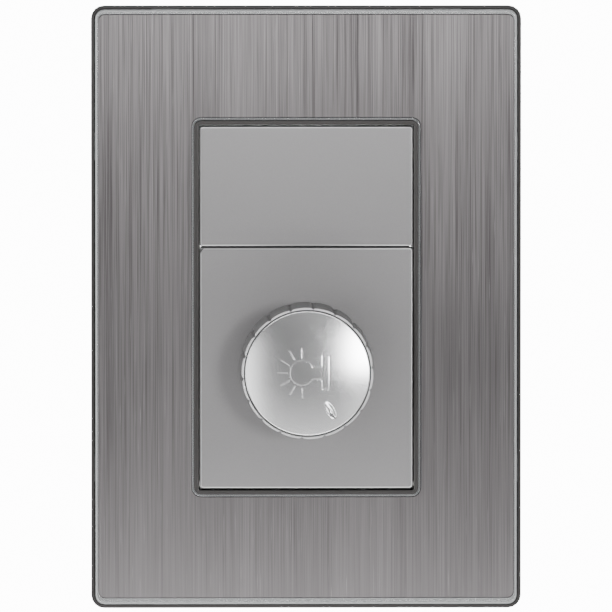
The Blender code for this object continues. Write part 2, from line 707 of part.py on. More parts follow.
def knob_angles():
    """Angles of the knob's outline points: each lobe has a groove and a gentle crown."""
    lobe = 360 / KNOB_LOBES
    steps = (0.0, 0.1, 0.35, 0.65, 0.9)
    return [GROOVE_PHASE + lobe * (index + step) for index in range(KNOB_LOBES) for step in steps]


def fluted(radius):
    """Radius of the knob's wall by angle: narrow grooves between shallow lobes."""
    lobe = 360 / KNOB_LOBES

    def radius_at(angle):
        part = (angle - GROOVE_PHASE) / lobe % 1.0
        if min(part, 1.0 - part) < 0.01:
            return radius - GROOVE_DEPTH
        return radius - 0.25 * (2 * part - 1) ** 2

    return radius_at


def make_knob(finish):
    """Fluted knob body: a hollow cup with a hub for the shaft and a seat for the cap."""
    angles = knob_angles()
    rim = KNOB_FRONT
    floor = rim + 3.6
    rows = [
        (lambda angle: SHAFT_BORE, rim + 1.9),
        (lambda angle: SHAFT_BORE, HUB_BACK),
        (lambda angle: 4.7, HUB_BACK),
        (lambda angle: 4.7, floor),
        (lambda angle: 10.9, floor),
        (lambda angle: 11.3, KNOB_BACK),
        (fluted(KNOB_RADIUS), KNOB_BACK),
        (fluted(KNOB_RADIUS - 0.2), rim + 0.7),
        (fluted(KNOB_RADIUS - 0.45), rim),
        (lambda angle: CAP_RADIUS + 0.1, rim + 0.1),
        (lambda angle: CAP_RADIUS + 0.1, rim + 1.1),
    ]
    centre = (0.0, DIMMER_Z)
    loops = [placed(polar_outline(radius_at, angles), "y", y, centre) for radius_at, y in rows]
    return build("knob", [loops], finish)


def make_knob_cap(finish):
    """Shallow dome on the knob's front, with a leaf-shaped pointer dimple."""
    edge = KNOB_FRONT + 0.15
    rings = 6
    profile = [(CAP_RADIUS, KNOB_FRONT + 1.05), (CAP_RADIUS, edge)]
    for ring in range(1, rings):
        spread = 1 - ring / rings
        profile.append((CAP_RADIUS * spread, edge - CAP_RISE * (1 - spread ** 2)))
    profile.append((0.3, edge - CAP_RISE))
    cap = build("knob_cap", [turned("y", (0.0, DIMMER_Z), profile, 48)], finish)
    combine(cap, "DIFFERENCE", [pointer_dimple()])
    return cap


def pointer_dimple():
    """Flattened spindle shape that sinks the pointer into the cap, along the radius."""
    turn = math.radians(POINTER_ANGLE)
    surface = KNOB_FRONT + 0.15 - CAP_RISE * (1 - (POINTER_RADIUS / CAP_RADIUS) ** 2)
    loops = []
    half_length = 2.15
    for step in range(1, 8):
        part = -1 + step / 4
        swell = math.sqrt(1 - part ** 2) * (1 - 0.25 * abs(part))
        reach = POINTER_RADIUS + half_length * part
        loop = []
        for u, v in circle(1.0, 10):
            across = 0.85 * swell * u
            x = reach * math.cos(turn) - across * math.sin(turn)
            z = reach * math.sin(turn) + across * math.cos(turn)
            loop.append((MM * x, MM * (surface + 0.4 * swell * v), MM * (DIMMER_Z + z)))
        loops.append(loop)
    return loops


def make_knob_clip(finish):
    """Spring leaf between the knob's bore and the flat of the shaft."""
    leaf = block((-1.7, -21.5, DIMMER_Z + 1.65), (1.7, -14.0, DIMMER_Z + 2.0))
    clip = build("knob_clip", [leaf], finish)
    bow = block((-1.2, -19.0, DIMMER_Z + 1.85), (1.2, -16.5, DIMMER_Z + 2.4))
    combine(clip, "UNION", [bow])
    return clip


# ---------------------------------------------------------------- parts on the board

def make_pot_pin(name, x, finish):
    """Pin from the potentiometer's tongue to the board."""
    return build(name, [rod("y", (x, POT_PIN_Z), 0.4, -2.4, BOARD_FRONT - 0.05, 8)], finish)


def make_heat_sink_plate(finish):
    """Aluminium angle under the top wall that the power device is screwed to."""
    front = 11.0
    back = 30.5
    thickness = 1.5
    outline = ((front, SINK_TOP - 4.0), (front + thickness, SINK_TOP - 4.0),
               (front + thickness, SINK_TOP - thickness), (back, SINK_TOP - thickness),
               (back, SINK_TOP), (front, SINK_TOP))
    plate = build("heat_sink_plate", [extruded(outline, -13.5, 13.5)], finish)
    combine(plate, "DIFFERENCE", [rod("z", (0.0, TRIAC_SCREW_Y), 1.7, SINK_TOP - 3, SINK_TOP + 2)])
    return plate


def make_thermal_pad(finish):
    """Insulating pad between the power device and the heat sink."""
    pad = build("thermal_pad", [block((-5.6, 13.0, PAD_LOW), (5.6, 29.8, PAD_LOW + 0.3))], finish)
    combine(pad, "DIFFERENCE", [rod("z", (0.0, TRIAC_SCREW_Y), 1.9, PAD_LOW - 1, PAD_LOW + 1)])
    return pad


def make_triac(finish):
    """Power device: metal tab, moulded body and three legs to the board."""
    top = TRIAC_TOP
    triac = build("triac", [block((-5.0, 13.5, top - 1.3), (5.0, 29.2, top))], finish)
    body = block((-5.1, 13.4, top - 4.4), (5.1, 22.7, top - 0.5))
    legs = []
    for x in (-2.5, 0.0, 2.5):
        legs.append(block((x - 0.4, BOARD_BACK + 0.05, top - 2.9), (x + 0.4, 13.8, top - 2.4)))
    combine(triac, "UNION", [body])
    combine(triac, "UNION", legs)
    combine(triac, "DIFFERENCE", [rod("z", (0.0, TRIAC_SCREW_Y), 1.85, top - 3, top + 1)])
    return triac


def make_triac_screw(finish):
    """Screw through the tab into the heat sink."""
    seat = TRIAC_TOP - 1.35
    centre = (0.0, TRIAC_SCREW_Y)
    profile = [(2.0, seat - 1.8), (2.7, seat - 1.1), (2.7, seat), (1.5, seat), (1.5, seat + 3.1)]
    screw = build("triac_screw", [turned("z", centre, profile, 20)], finish)
    cut_cross(screw, "z", centre, seat - 2.5, seat - 0.9, 1.6, 0.5)
    return screw


def make_choke_core(finish):
    """Ring core of the interference choke."""
    profile = [(4.5, 12.2), (8.0, 12.2), (8.0, 18.2), (4.5, 18.2)]
    return build("choke_core", [turned("y", (CHOKE_X, CHOKE_Z), profile)], finish, closed=True)


def make_choke_winding(finish):
    """Winding round most of the core, open over a sector."""
    centre = (CHOKE_X, CHOKE_Z)
    outer = [(3.6, 11.3), (8.9, 11.3), (8.9, 19.1), (3.6, 19.1)]
    inner = [(4.3, 12.0), (8.2, 12.0), (8.2, 18.4), (4.3, 18.4)]
    winding = build("choke_winding", [turned("y", centre, outer)], finish, closed=True)
    combine(winding, "DIFFERENCE", [turned("y", centre, inner)], closed=True)
    gap = block((CHOKE_X - 2.0, 10.9, CHOKE_Z - 12), (CHOKE_X + 2.0, 20.0, CHOKE_Z - 1))
    combine(winding, "DIFFERENCE", [gap])
    return winding


def make_case_part(name, low, high, finish):
    """Boxy component standing on the back of the board; places are relative to the dimmer."""
    box_low = (low[0], BOARD_BACK + 0.1, DIMMER_Z + low[1])
    box_high = (high[0], BOARD_BACK + 0.1 + high[2], DIMMER_Z + high[1])
    return build(name, [block(box_low, box_high)], finish)


def make_axial_part(name, x, z, radius, length, lift, finish):
    """Round component lying along X, with a leg down to the board at each end."""
    axis = BOARD_BACK + lift
    centre = (axis, DIMMER_Z + z)
    wire = WIRE_RADIUS
    half = length / 2
    profile = [(wire, x - half - 1.6), (wire, x - half), (radius, x - half + 0.3),
               (radius, x + half - 0.3), (wire, x + half), (wire, x + half + 1.6)]
    part = build(name, [turned("x", centre, profile, SMALL_STEPS)], finish)
    legs = []
    for side in (-1, 1):
        leg = x + side * (half + 1.3)
        legs.append(block((leg - wire, BOARD_BACK + 0.05, centre[1] - 0.25),
                          (leg + wire, axis + 0.2, centre[1] + 0.25)))
    combine(part, "UNION", legs)
    return part


def make_fuse(finish):
    """Cartridge fuse with its end caps."""
    half = ((2.6, 5.2), (2.6, 9.7), (2.3, 10.0))
    profile = [(radius, -along) for radius, along in reversed(half)]
    profile += [(2.35, -5.1), (2.35, 5.1)] + list(half)
    return build("fuse", [turned("x", (FUSE_Y, FUSE_Z), profile, 20)], finish)


def make_fuse_clip(name, x, finish):
    """U-shaped clip that holds one end of the fuse."""
    outer = 3.1
    inner = 2.7
    floor = BOARD_BACK + 0.1
    end = FUSE_Y + 2.4
    outline = ((floor, FUSE_Z - outer), (end, FUSE_Z - outer), (end, FUSE_Z - inner),
               (floor + 0.4, FUSE_Z - inner), (floor + 0.4, FUSE_Z + inner), (end, FUSE_Z + inner),
               (end, FUSE_Z + outer), (floor, FUSE_Z + outer))
    return build(name, [extruded(outline, x - 1.8, x + 1.8)], finish)


# ---------------------------------------------------------------- terminals

def make_terminal_block(finish):
    """Moulded block with three chambers, each open to the rear for the wire."""
    block_shape = block((-13.4, 19.0, BLOCK_LOW), (13.4, 31.9, DIMMER_Z - 11.7))
    terminal_block = build("terminal_block", [block_shape], finish)
    chambers = []
    passages = []
    for x in terminal_columns():
        chambers.append(block((x - 3.1, 20.6, CHAMBER_LOW), (x + 3.1, 33.0, CHAMBER_HIGH)))
        passages.append(block((x - 2.5, 18.0, DIMMER_Z - 16.8), (x + 2.5, 21.0, DIMMER_Z - 15.4)))
        passages.append(rod("z", (x, CLAMP_Y), 1.6, BLOCK_LOW - 1, BLOCK_LOW + 1.5))
    combine(terminal_block, "DIFFERENCE", chambers)
    combine(terminal_block, "DIFFERENCE", passages)
    return terminal_block


def make_terminal_bar(name, x, finish):
    """Contact bar from the board into its clamp."""
    low = (x - 2.1, BOARD_BACK + 0.05, DIMMER_Z - 16.5)
    high = (x + 2.1, 29.6, DIMMER_Z - 15.8)
    return build(name, [block(low, high)], finish)


def make_terminal_cage(name, x, finish):
    """Rectangular clamp cage, open along Y for the wire, with a threaded lower wall."""
    half = 2.9
    depth = 2.5
    cage_block = block((x - half, CLAMP_Y - depth, CAGE_LOW), (x + half, CLAMP_Y + depth, CAGE_HIGH))
    cage = build(name, [cage_block], finish)
    hollow = block((x - half + 0.6, CLAMP_Y - depth - 1.0, CAGE_LOW + 0.8),
                   (x + half - 0.6, CLAMP_Y + depth + 1.0, CAGE_HIGH - 0.8))
    thread = rod("z", (x, CLAMP_Y), 1.35, CAGE_LOW - 1, CAGE_LOW + 1.2)
    combine(cage, "DIFFERENCE", [hollow])
    combine(cage, "DIFFERENCE", [thread])
    return cage


def make_terminal_screw(name, x, finish):
    """Captive terminal screw, driven from below."""
    floor = BLOCK_LOW
    profile = [(1.7, floor - 1.9), (2.1, floor - 1.5), (2.1, floor - 0.1), (1.2, floor - 0.1),
               (1.2, DIMMER_Z - 17.0), (0.9, DIMMER_Z - 16.6)]
    screw = build(name, [turned("z", (x, CLAMP_Y), profile, 16)], finish)
    slot = block((x - 2.5, CLAMP_Y - 0.35, floor - 3), (x + 2.5, CLAMP_Y + 0.35, floor - 1.0))
    combine(screw, "DIFFERENCE", [slot])
    return screw


# ---------------------------------------------------------------- assembly

def make_plate(finishes):
    """The wall plate and the yoke it snaps on; the cover and its facing pull off together."""
    make_base_frame(finishes["charcoal"])
    make_yoke(finishes["steel"])
    for number, z in enumerate((BOX_SCREW_Z, -BOX_SCREW_Z), start=1):
        make_fixing_screw(f"fixing_screw_{number}", z, finishes["steel"])
    cover = make_cover_plate(finishes["acrylic"])
    sheet = make_brushed_sheet(finishes["sheet"])
    hang_on_pivot("cover_pivot", (0.0, COVER_BACK, 0.0), [cover, sheet])


def make_dimmer_case(finishes):
    """The dimmer's face, frame, housing and board."""
    make_blank_module(finishes["silver"])
    make_dimmer_face(finishes["silver"])
    make_module_frame(finishes["light"])
    make_rear_housing(finishes["black"])
    make_circuit_board(finishes["board"])
    for number, place in enumerate(case_screw_places(), start=1):
        make_case_screw(f"case_screw_{number}", place, finishes["steel"])


def make_control(finishes):
    """The potentiometer, the switch behind it and the knob, which turn on one axis."""
    make_pot_bushing(finishes["zinc"])
    make_pot_washer(finishes["steel"])
    make_pot_nut(finishes["brass"])
    make_pot_track(finishes["phenolic"])
    make_pot_cover(finishes["steel"])
    make_switch_housing(finishes["black"])
    make_contact_spring(finishes["brass"])
    for number, x in enumerate(POT_PIN_SPACING, start=1):
        make_pot_pin(f"pot_pin_{number}", x, finishes["brass"])
    turning = [
        make_knob(finishes["silver"]),
        make_knob_cap(finishes["cap"]),
        make_knob_clip(finishes["steel"]),
        make_pot_shaft(finishes["aluminium"]),
        make_pot_wiper(finishes["brass"]),
        make_switch_cam(finishes["light"]),
    ]
    hang_on_pivot("knob_pivot", (0.0, KNOB_BACK, DIMMER_Z), turning)


def make_electronics(finishes):
    """Parts on the board that regulate, filter and protect."""
    make_heat_sink_plate(finishes["aluminium"])
    make_thermal_pad(finishes["pad"])
    make_triac(finishes["black"])
    make_triac_screw(finishes["steel"])
    make_choke_core(finishes["ferrite"])
    make_choke_winding(finishes["copper"])
    make_case_part("film_capacitor", (3.2, 2.6), (15.8, 8.6, 11.0), finishes["yellow"])
    make_case_part("timing_capacitor", (5.0, -4.8), (12.5, -1.3, 7.0), finishes["yellow"])
    make_axial_part("resistor_1", 10.5, 11.2, 1.2, 6.4, 1.6, finishes["ceramic"])
    make_axial_part("resistor_2", 10.5, 15.0, 1.2, 6.4, 1.6, finishes["ceramic"])
    make_axial_part("diac", 1.5, -5.5, 0.8, 3.4, 1.3, finishes["glass"])
    make_fuse(finishes["glass"])
    for number, x in enumerate((-7.6, 7.6), start=1):
        make_fuse_clip(f"fuse_clip_{number}", x, finishes["brass"])


def make_terminals(finishes):
    """Three rising-clamp terminals in one block."""
    make_terminal_block(finishes["light"])
    for number, x in enumerate(terminal_columns(), start=1):
        make_terminal_bar(f"terminal_bar_{number}", x, finishes["brass"])
        cage = make_terminal_cage(f"terminal_cage_{number}", x, finishes["steel"])
        screw = make_terminal_screw(f"terminal_screw_{number}", x, finishes["steel"])
        hang_on_pivot(f"cage_pivot_{number}", (x, CLAMP_Y, DIMMER_Z - 15.5), [cage])
        hang_on_pivot(f"screw_pivot_{number}", (x, CLAMP_Y, BLOCK_LOW), [screw])


def main():
    for old in list(bpy.data.objects):
        bpy.data.objects.remove(old)
    finishes = make_finishes()
    make_plate(finishes)
    make_dimmer_case(finishes)
    make_control(finishes)
    make_electronics(finishes)
    make_terminals(finishes)


main()
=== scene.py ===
"""Looks of the rotary dimmer on its three-module wall plate.

Lengths are metres in the model's own frame: X runs across, Z up, and -Y towards the room.
"""
import json
import math

import bmesh
import bpy
import numpy as np
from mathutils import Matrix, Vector

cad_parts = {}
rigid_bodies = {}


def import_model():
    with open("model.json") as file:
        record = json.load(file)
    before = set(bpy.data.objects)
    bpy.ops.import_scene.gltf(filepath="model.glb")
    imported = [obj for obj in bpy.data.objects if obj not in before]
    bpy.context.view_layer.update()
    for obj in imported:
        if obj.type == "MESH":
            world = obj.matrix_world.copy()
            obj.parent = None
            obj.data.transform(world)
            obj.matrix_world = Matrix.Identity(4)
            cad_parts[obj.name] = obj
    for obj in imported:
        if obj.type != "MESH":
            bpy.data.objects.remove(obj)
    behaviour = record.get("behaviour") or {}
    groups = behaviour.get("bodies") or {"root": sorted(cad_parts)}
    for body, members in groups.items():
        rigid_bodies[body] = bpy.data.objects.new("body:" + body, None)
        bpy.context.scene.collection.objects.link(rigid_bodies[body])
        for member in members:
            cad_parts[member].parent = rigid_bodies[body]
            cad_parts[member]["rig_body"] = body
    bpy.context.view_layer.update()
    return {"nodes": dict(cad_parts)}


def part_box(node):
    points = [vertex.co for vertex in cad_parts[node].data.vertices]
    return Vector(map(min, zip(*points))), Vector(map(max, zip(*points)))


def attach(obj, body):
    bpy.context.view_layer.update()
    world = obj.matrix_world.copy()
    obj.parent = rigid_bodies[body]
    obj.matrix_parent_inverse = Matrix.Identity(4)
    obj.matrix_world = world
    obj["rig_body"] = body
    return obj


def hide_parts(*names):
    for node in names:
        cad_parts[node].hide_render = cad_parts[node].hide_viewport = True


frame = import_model()

MM = 0.001

# Where the knob stands, in millimetres, and how it is cut
KNOB_Z = -12.05
KNOB_RIM = -26.4
KNOB_BACK = -9.4
KNOB_RADIUS = 13.25
KNOB_GROOVES = 18
GROOVE_PHASE = 85.0
SEAT_RADIUS = 12.56
CAP_RADIUS = 12.38
CAP_RISE = 0.85
CAP_ROUNDING = 0.22
CAP_SIDE = 0.9
CAP_EDGE = -26.25

# The lamp mark and the pointer on the cap, from the cap's centre
LINE_WIDTH = 0.26
LINE_DEPTH = 0.013
BULB_CENTRE = (-1.1, 0.05)
BULB_RADIUS = 2.49
NECK_TOP = 1.25
NECK_FOOT = -1.15
FLANGE = (2.95, 4.34, -3.08, 3.47)
RAY_INNER = 3.04
RAY_OUTER = 4.98
RAY_ANGLES = (90, 120, 150, 180, 210, 240, 270)
LEAF_CENTRE = (4.5, -7.27)
LEAF_ANGLE = -60.0
LEAF_HALF_LENGTH = 2.0
LEAF_HALF_WIDTH = 0.82
LEAF_DEPTH = 0.34


# ---------------------------------------------------------------- node trees

class Value:
    """A socket in a node tree; arithmetic on it adds Math nodes."""

    def __init__(self, graph, socket):
        self.graph = graph
        self.socket = socket

    def maths(self, operation, *terms):
        """The result of a Math node on some terms."""
        return self.graph.node("Math", {"operation": operation}, dict(enumerate(terms)))

    def __add__(self, other):
        return self.maths("ADD", self, other)

    def __sub__(self, other):
        return self.maths("SUBTRACT", self, other)

    def __rsub__(self, other):
        return self.maths("SUBTRACT", other, self)

    def __mul__(self, other):
        return self.maths("MULTIPLY", self, other)

    def __truediv__(self, other):
        return self.maths("DIVIDE", self, other)

    def __pow__(self, other):
        return self.maths("POWER", self, other)

    __radd__ = __add__
    __rmul__ = __mul__

    def size(self):
        """The value without its sign."""
        return self.maths("ABSOLUTE", self)

    def part(self):
        """What is left over a whole number."""
        return self.maths("FRACT", self)

    def falling(self):
        """The exponential, which dies away as the value goes below nothing."""
        return self.maths("EXPONENT", self)

    def above(self, limit):
        """1 over a limit and 0 up to it."""
        return self.maths("GREATER_THAN", self, limit)

    def within(self, low, high):
        """The value kept between two limits."""
        held = self.maths("MINIMUM", self, high)
        return held.maths("MAXIMUM", held, low)

    def ease(self, low, high):
        """0 below low, 1 above high and smooth between."""
        return self.graph.node("MapRange", {"interpolation_type": "SMOOTHSTEP"},
                               {"Value": self, "From Min": low, "From Max": high})


class Graph:
    """A node tree while it is put together."""

    def __init__(self, tree):
        self.tree = tree
        self.tree.nodes.clear()

    def node(self, kind, settings=None, inputs=None, out=0):
        """Adds a node: its settings first, then the values or links of its sockets."""
        known = "ShaderNode" + kind
        node = self.tree.nodes.new(known if hasattr(bpy.types, known) else "GeometryNode" + kind)
        for name, value in (settings or {}).items():
            if name == "stops":
                set_stops(node.color_ramp, value)
            else:
                setattr(node, name, value)
        for key, value in (inputs or {}).items():
            self.feed(node.inputs[key], value)
        return Value(self, node.outputs[out])

    def feed(self, socket, value):
        """Gives a socket a link or a constant."""
        if isinstance(value, Value):
            self.tree.links.new(value.socket, socket)
        elif socket.type == "RGBA" and len(value) == 3:
            socket.default_value = (*value, 1.0)
        else:
            socket.default_value = value


def set_stops(ramp, stops):
    """Gives a colour ramp hard bands: each colour runs from its place to the next one's."""
    ramp.interpolation = "CONSTANT"
    while len(ramp.elements) > 1:
        ramp.elements.remove(ramp.elements[-1])
    for index, (place, colour) in enumerate(stops):
        stop = ramp.elements[0] if index == 0 else ramp.elements.new(place)
        stop.position = place
        stop.color = (*colour, 1.0)


class Finish(Graph):
    """A material whose colour, gloss and relief come from patterns that lie on the piece."""

    def __init__(self, name):
        self.material = bpy.data.materials.new(name)
        self.material.use_nodes = True
        super().__init__(self.material.node_tree)
        self.surface = self.tree.nodes.new("ShaderNodeBsdfPrincipled")
        output = self.tree.nodes.new("ShaderNodeOutputMaterial")
        self.tree.links.new(self.surface.outputs[0], output.inputs[0])
        self.place = self.node("TexCoord", out="Object")

    def along(self, stretch, centre=(0, 0, 0)):
        """The piece's own coordinates from a centre, squeezed on each axis."""
        shift = [-c * s for c, s in zip(centre, stretch)]
        return self.node("Mapping", inputs={"Vector": self.place, "Location": shift,
                                            "Scale": stretch})

    def cloud(self, size, detail, place=None, turbulence=0.5):
        """Soft random mottling with features of about one size."""
        return self.node("TexNoise", inputs={"Vector": place or self.place, "Scale": 1 / size,
                                             "Detail": detail, "Roughness": turbulence})

    def flakes(self, size, place=None):
        """Small cells, each with a random shade."""
        cell = self.node("TexVoronoi", inputs={"Vector": place or self.place, "Scale": 1 / size},
                         out="Color")
        return self.node("SeparateColor", inputs={"Color": cell})

    def axis(self, name, centre=0.0):
        """One of the piece's own coordinates, measured from a centre."""
        return self.node("SeparateXYZ", inputs={"Vector": self.place}, out=name) - centre

    def mark(self, name):
        """A value that the piece's mesh carries."""
        return self.node("Attribute", {"attribute_name": name}, out="Fac")

    def blend(self, share, first, second):
        """One colour or the other by share."""
        return self.node("Mix", {"data_type": "RGBA"}, {0: share, 6: first, 7: second}, out=2)

    def shades(self, share, colour, contrast):
        """A colour that runs a little darker and lighter by share."""
        dark = [c * (1 - contrast) for c in colour]
        light = [min(1.0, c * (1 + contrast)) for c in colour]
        return self.blend(share, dark, light)

    def relief(self, height, depth, strength=1.0):
        """Surface relief of a depth from a height pattern."""
        return self.node("Bump", inputs={"Height": height, "Distance": depth, "Strength": strength})

    def wear(self, settings):
        """Sets the surface's sockets: constants on the sockets, patterns by links."""
        for name, value in settings.items():
            self.feed(self.surface.inputs[name], value)
        return self.material


# ---------------------------------------------------------------- finishes

def moulded(name, colour, gloss, grain=0.16, depth=0.012, edge=1.35, index=1.5):
    """Moulded plastic: spark-eroded grain, faint flow marks, and edges painted lighter, partly as
    handling wear and partly as a painted highlight.
    """
    finish = Finish(name)
    pits = finish.cloud(grain * MM, 2.0)
    flow = finish.cloud(7 * MM, 3.0, finish.along((1.0, 1.0, 0.45)))
    scuffs = finish.cloud(1.1 * MM, 4.0, finish.along((1.0, 0.3, 0.3))).ease(0.58, 0.8)
    edge_wear_and_highlight = finish.mark("edge")
    body = finish.shades(flow * 0.6 + pits * 0.4, colour, 0.22)
    # Edge colour lighter than the body: partly handling wear, partly a painted highlight on the
    # rounded edges and slopes.
    edge_wear_and_highlight_colour = [min(1.0, c * edge + 0.006) for c in colour]
    return finish.wear({
        "Base Color": finish.blend(edge_wear_and_highlight * 0.7 + scuffs * 0.18, body, edge_wear_and_highlight_colour),
        "Roughness": gloss + (pits - 0.5) * 0.16 + (flow - 0.5) * 0.12 - edge_wear_and_highlight * 0.12,
        "Normal": finish.relief(pits, depth * MM),
        "IOR": index,
    })


def brushed_sheet_metal():
    """Dark silver sheet brushed up and down: long fine streaks, each a little lighter or duller,
    painted with more contrast towards the top to stand in for the stronger reflection there.
    """
    finish = Finish("brushed_sheet_metal")
    hair = finish.cloud(0.15 * MM, 2.0, finish.along((1.0, 1.0, 0.004)), 0.7)
    strand = finish.cloud(0.3 * MM, 3.0, finish.along((1.0, 1.0, 0.005), (0.05, 0, 0)), 0.7)
    band = finish.cloud(6.0 * MM, 3.0, finish.along((1.0, 1.0, 0.05), (0.11, 0, 0)))
    nick = finish.cloud(0.15 * MM, 1.0, finish.along((1.0, 1.0, 0.012), (0.21, 0, 0)))
    scratch = nick.ease(0.68, 0.8)
    streak = hair * 0.5 + strand * 0.35 + band * 0.15
    # Streak contrast grows with height: painted light, standing in for the brighter reflection on
    # the upper sheet.
    height = finish.axis("Z") / (60 * MM)
    contrast = height * 1.4 + 3.2
    tone = (streak - 0.5) * contrast + 0.5
    body = finish.blend(tone, (0.024, 0.0222, 0.0227), (0.134, 0.127, 0.129))
    return finish.wear({
        "Base Color": finish.blend(scratch * 0.2, body, (0.5, 0.49, 0.49)),
        "Metallic": 1.0,
        "Roughness": 0.45 + (strand - 0.5) * 0.2 + (hair - 0.5) * 0.2 - scratch * 0.06,
        "Normal": finish.relief(hair * 0.5 + strand * 0.5, 0.012 * MM, 0.8),
        "Anisotropic": 0.65,
    })


def silver_paint(name, colour):
    """Silver paint on plastic: fine metal flakes in lacquer with a little orange peel."""
    finish = Finish(name)
    flake = finish.flakes(0.11 * MM)
    grit = finish.cloud(0.22 * MM, 3.0)
    peel = finish.cloud(1.3 * MM, 2.0)
    patch = finish.cloud(14 * MM, 2.0)
    edge_wear_and_highlight = finish.mark("edge")
    tone = flake * 0.35 + grit * 0.5 + patch * 0.15
    body = finish.shades(tone, colour, 0.2)
    return finish.wear({
        # Marked edges and slopes blend towards a much lighter silver: a painted highlight, partly
        # also paint wear.
        "Base Color": finish.blend(edge_wear_and_highlight * 0.55, body, (0.62, 0.62, 0.625)),
        "Metallic": 0.55 + (flake - 0.5) * 0.2,
        "Roughness": 0.44 + (grit - 0.5) * 0.18 + (patch - 0.5) * 0.06 - edge_wear_and_highlight * 0.08,
        "Normal": finish.relief(grit * 0.6 + peel * 0.4, 0.014 * MM, 0.8),
        "Coat Weight": 0.12 + (peel - 0.5) * 0.06,
        "Coat Roughness": 0.3,
    })


def satin_cap():
    """Satin silver cap: a fine even haze, with the sunk marks lighter and duller."""
    finish = Finish("satin_cap")
    haze = finish.cloud(0.1 * MM, 3.0)
    grain = finish.cloud(0.35 * MM, 3.0)
    patch = finish.cloud(5 * MM, 2.0)
    sunk = finish.mark("engraved")
    body = finish.shades(haze * 0.4 + grain * 0.35 + patch * 0.25, (0.60, 0.60, 0.605), 0.1)
    return finish.wear({
        "Base Color": finish.blend(sunk * 0.2, body, (0.66, 0.66, 0.66)),
        "Metallic": 0.92 - sunk * 0.1,
        "Roughness": 0.17 + (haze - 0.5) * 0.1 + (patch - 0.5) * 0.03 + sunk * 0.04,
        "Normal": finish.relief(haze * 0.5 + grain * 0.5, 0.006 * MM, 0.7),
    })


def clear_acrylic():
    """Polished clear plate: faint haze, hairline scuffs, and a painted highlight on the rounded
    edge, where the grey plate is made more opaque.
    """
    finish = Finish("clear_acrylic")
    haze = finish.cloud(4 * MM, 3.0)
    hairline = finish.cloud(0.12 * MM, 2.0, finish.along((1.0, 1.0, 0.08))).ease(0.62, 0.8)
    edge = finish.mark("edge")
    return finish.wear({
        "Base Color": finish.shades(haze, (0.5, 0.515, 0.52), 0.05),
        "Roughness": 0.1 + haze * 0.08 + hairline * 0.15,
        # The edge mark makes the rounded edge more opaque, so its grey shows as a painted
        # highlight.
        "Alpha": 0.3 + hairline * 0.1 + edge * 0.4,
        "IOR": 1.49,
        "Coat Weight": 0.5,
        "Coat Roughness": 0.05,
    })


def bare_metal(name, colour, rough, stretch=(1, 1, 1), grain=0.25, tint=None, depth=0.01):
    """Bare or plated metal: drawn or cast grain, a faint tint that wanders, and edges painted
    lighter, partly as wear from rubbing and partly as a painted highlight.
    """
    finish = Finish(name)
    lay = finish.cloud(grain * MM, 3.0, finish.along(stretch))
    bloom = finish.cloud(5 * MM, 4.0, turbulence=0.6)
    spots = finish.cloud(0.8 * MM, 3.0).ease(0.62, 0.75)
    edge_wear_and_highlight = finish.mark("edge")
    body = finish.shades(lay * 0.6 + bloom * 0.4, colour, 0.16)
    body = finish.blend((bloom - 0.35) * 1.2, body, tint or [c * 0.82 for c in colour])
    # Lighter edge colour: partly wear, partly a painted highlight.
    bright = [min(1.0, c * 1.25) for c in colour]
    return finish.wear({
        "Base Color": finish.blend(edge_wear_and_highlight * 0.5, body, bright),
        "Metallic": 1.0 - spots * 0.15,
        "Roughness": rough + (lay - 0.5) * 0.2 + (bloom - 0.5) * 0.12 + spots * 0.1 - edge_wear_and_highlight * 0.08,
        "Normal": finish.relief(lay, depth * MM, 0.8),
    })


def board_laminate():
    """Green lacquer over glass weave, with copper areas showing through a shade lighter."""
    finish = Finish("board_laminate")
    across = finish.axis("X") / (0.45 * MM)
    up = finish.axis("Z") / (0.45 * MM)
    weave = (across.maths("SINE", across) * up.maths("SINE", up)) * 0.5 + 0.5
    lane = finish.flakes(3.4 * MM, finish.along((1.0, 0.0, 1.0)))
    copper = lane.above(0.45)
    speck = finish.cloud(0.3 * MM, 3.0)
    body = finish.shades(weave * 0.6 + speck * 0.4, (0.02, 0.11, 0.045), 0.3)
    return finish.wear({
        "Base Color": finish.blend(copper * 0.7, body, (0.05, 0.22, 0.09)),
        "Roughness": 0.3 + weave * 0.08 + speck * 0.06,
        "Normal": finish.relief(copper * 0.8 + weave * 0.2, 0.02 * MM, 0.6),
        "Coat Weight": 0.4,
        "Coat Roughness": 0.15,
    })


def fibre_board(name, colour):
    """Phenolic paper board: short fibres and darker flecks."""
    finish = Finish(name)
    fibre = finish.cloud(0.2 * MM, 3.0, finish.along((1.0, 1.0, 0.2)))
    fleck = finish.cloud(0.5 * MM, 3.0).ease(0.55, 0.7)
    body = finish.shades(fibre, colour, 0.25)
    return finish.wear({
        "Base Color": finish.blend(fleck * 0.5, body, [c * 0.45 for c in colour]),
        "Roughness": 0.42 + (fibre - 0.5) * 0.2,
        "Normal": finish.relief(fibre, 0.01 * MM),
    })


def lacquered(name, colour, rough, metal, coat, grain=0.3, depth=0.01):
    """A body under a clear coat: enamel on wire, film on a capacitor, powder on ferrite."""
    finish = Finish(name)
    fine = finish.cloud(grain * MM, 3.0)
    broad = finish.cloud(3 * MM, 2.0)
    dust = finish.cloud(0.6 * MM, 4.0).ease(0.6, 0.75)
    body = finish.shades(fine * 0.5 + broad * 0.5, colour, 0.14)
    return finish.wear({
        "Base Color": finish.blend(dust * 0.15, body, [c * 0.6 + 0.15 for c in colour]),
        "Metallic": metal,
        "Roughness": rough + (fine - 0.5) * 0.15 + dust * 0.08,
        "Coat Weight": coat,
        "Coat Roughness": 0.1,
        "Normal": finish.relief(fine * 0.5 + broad * 0.5, depth * MM, 0.8),
    })


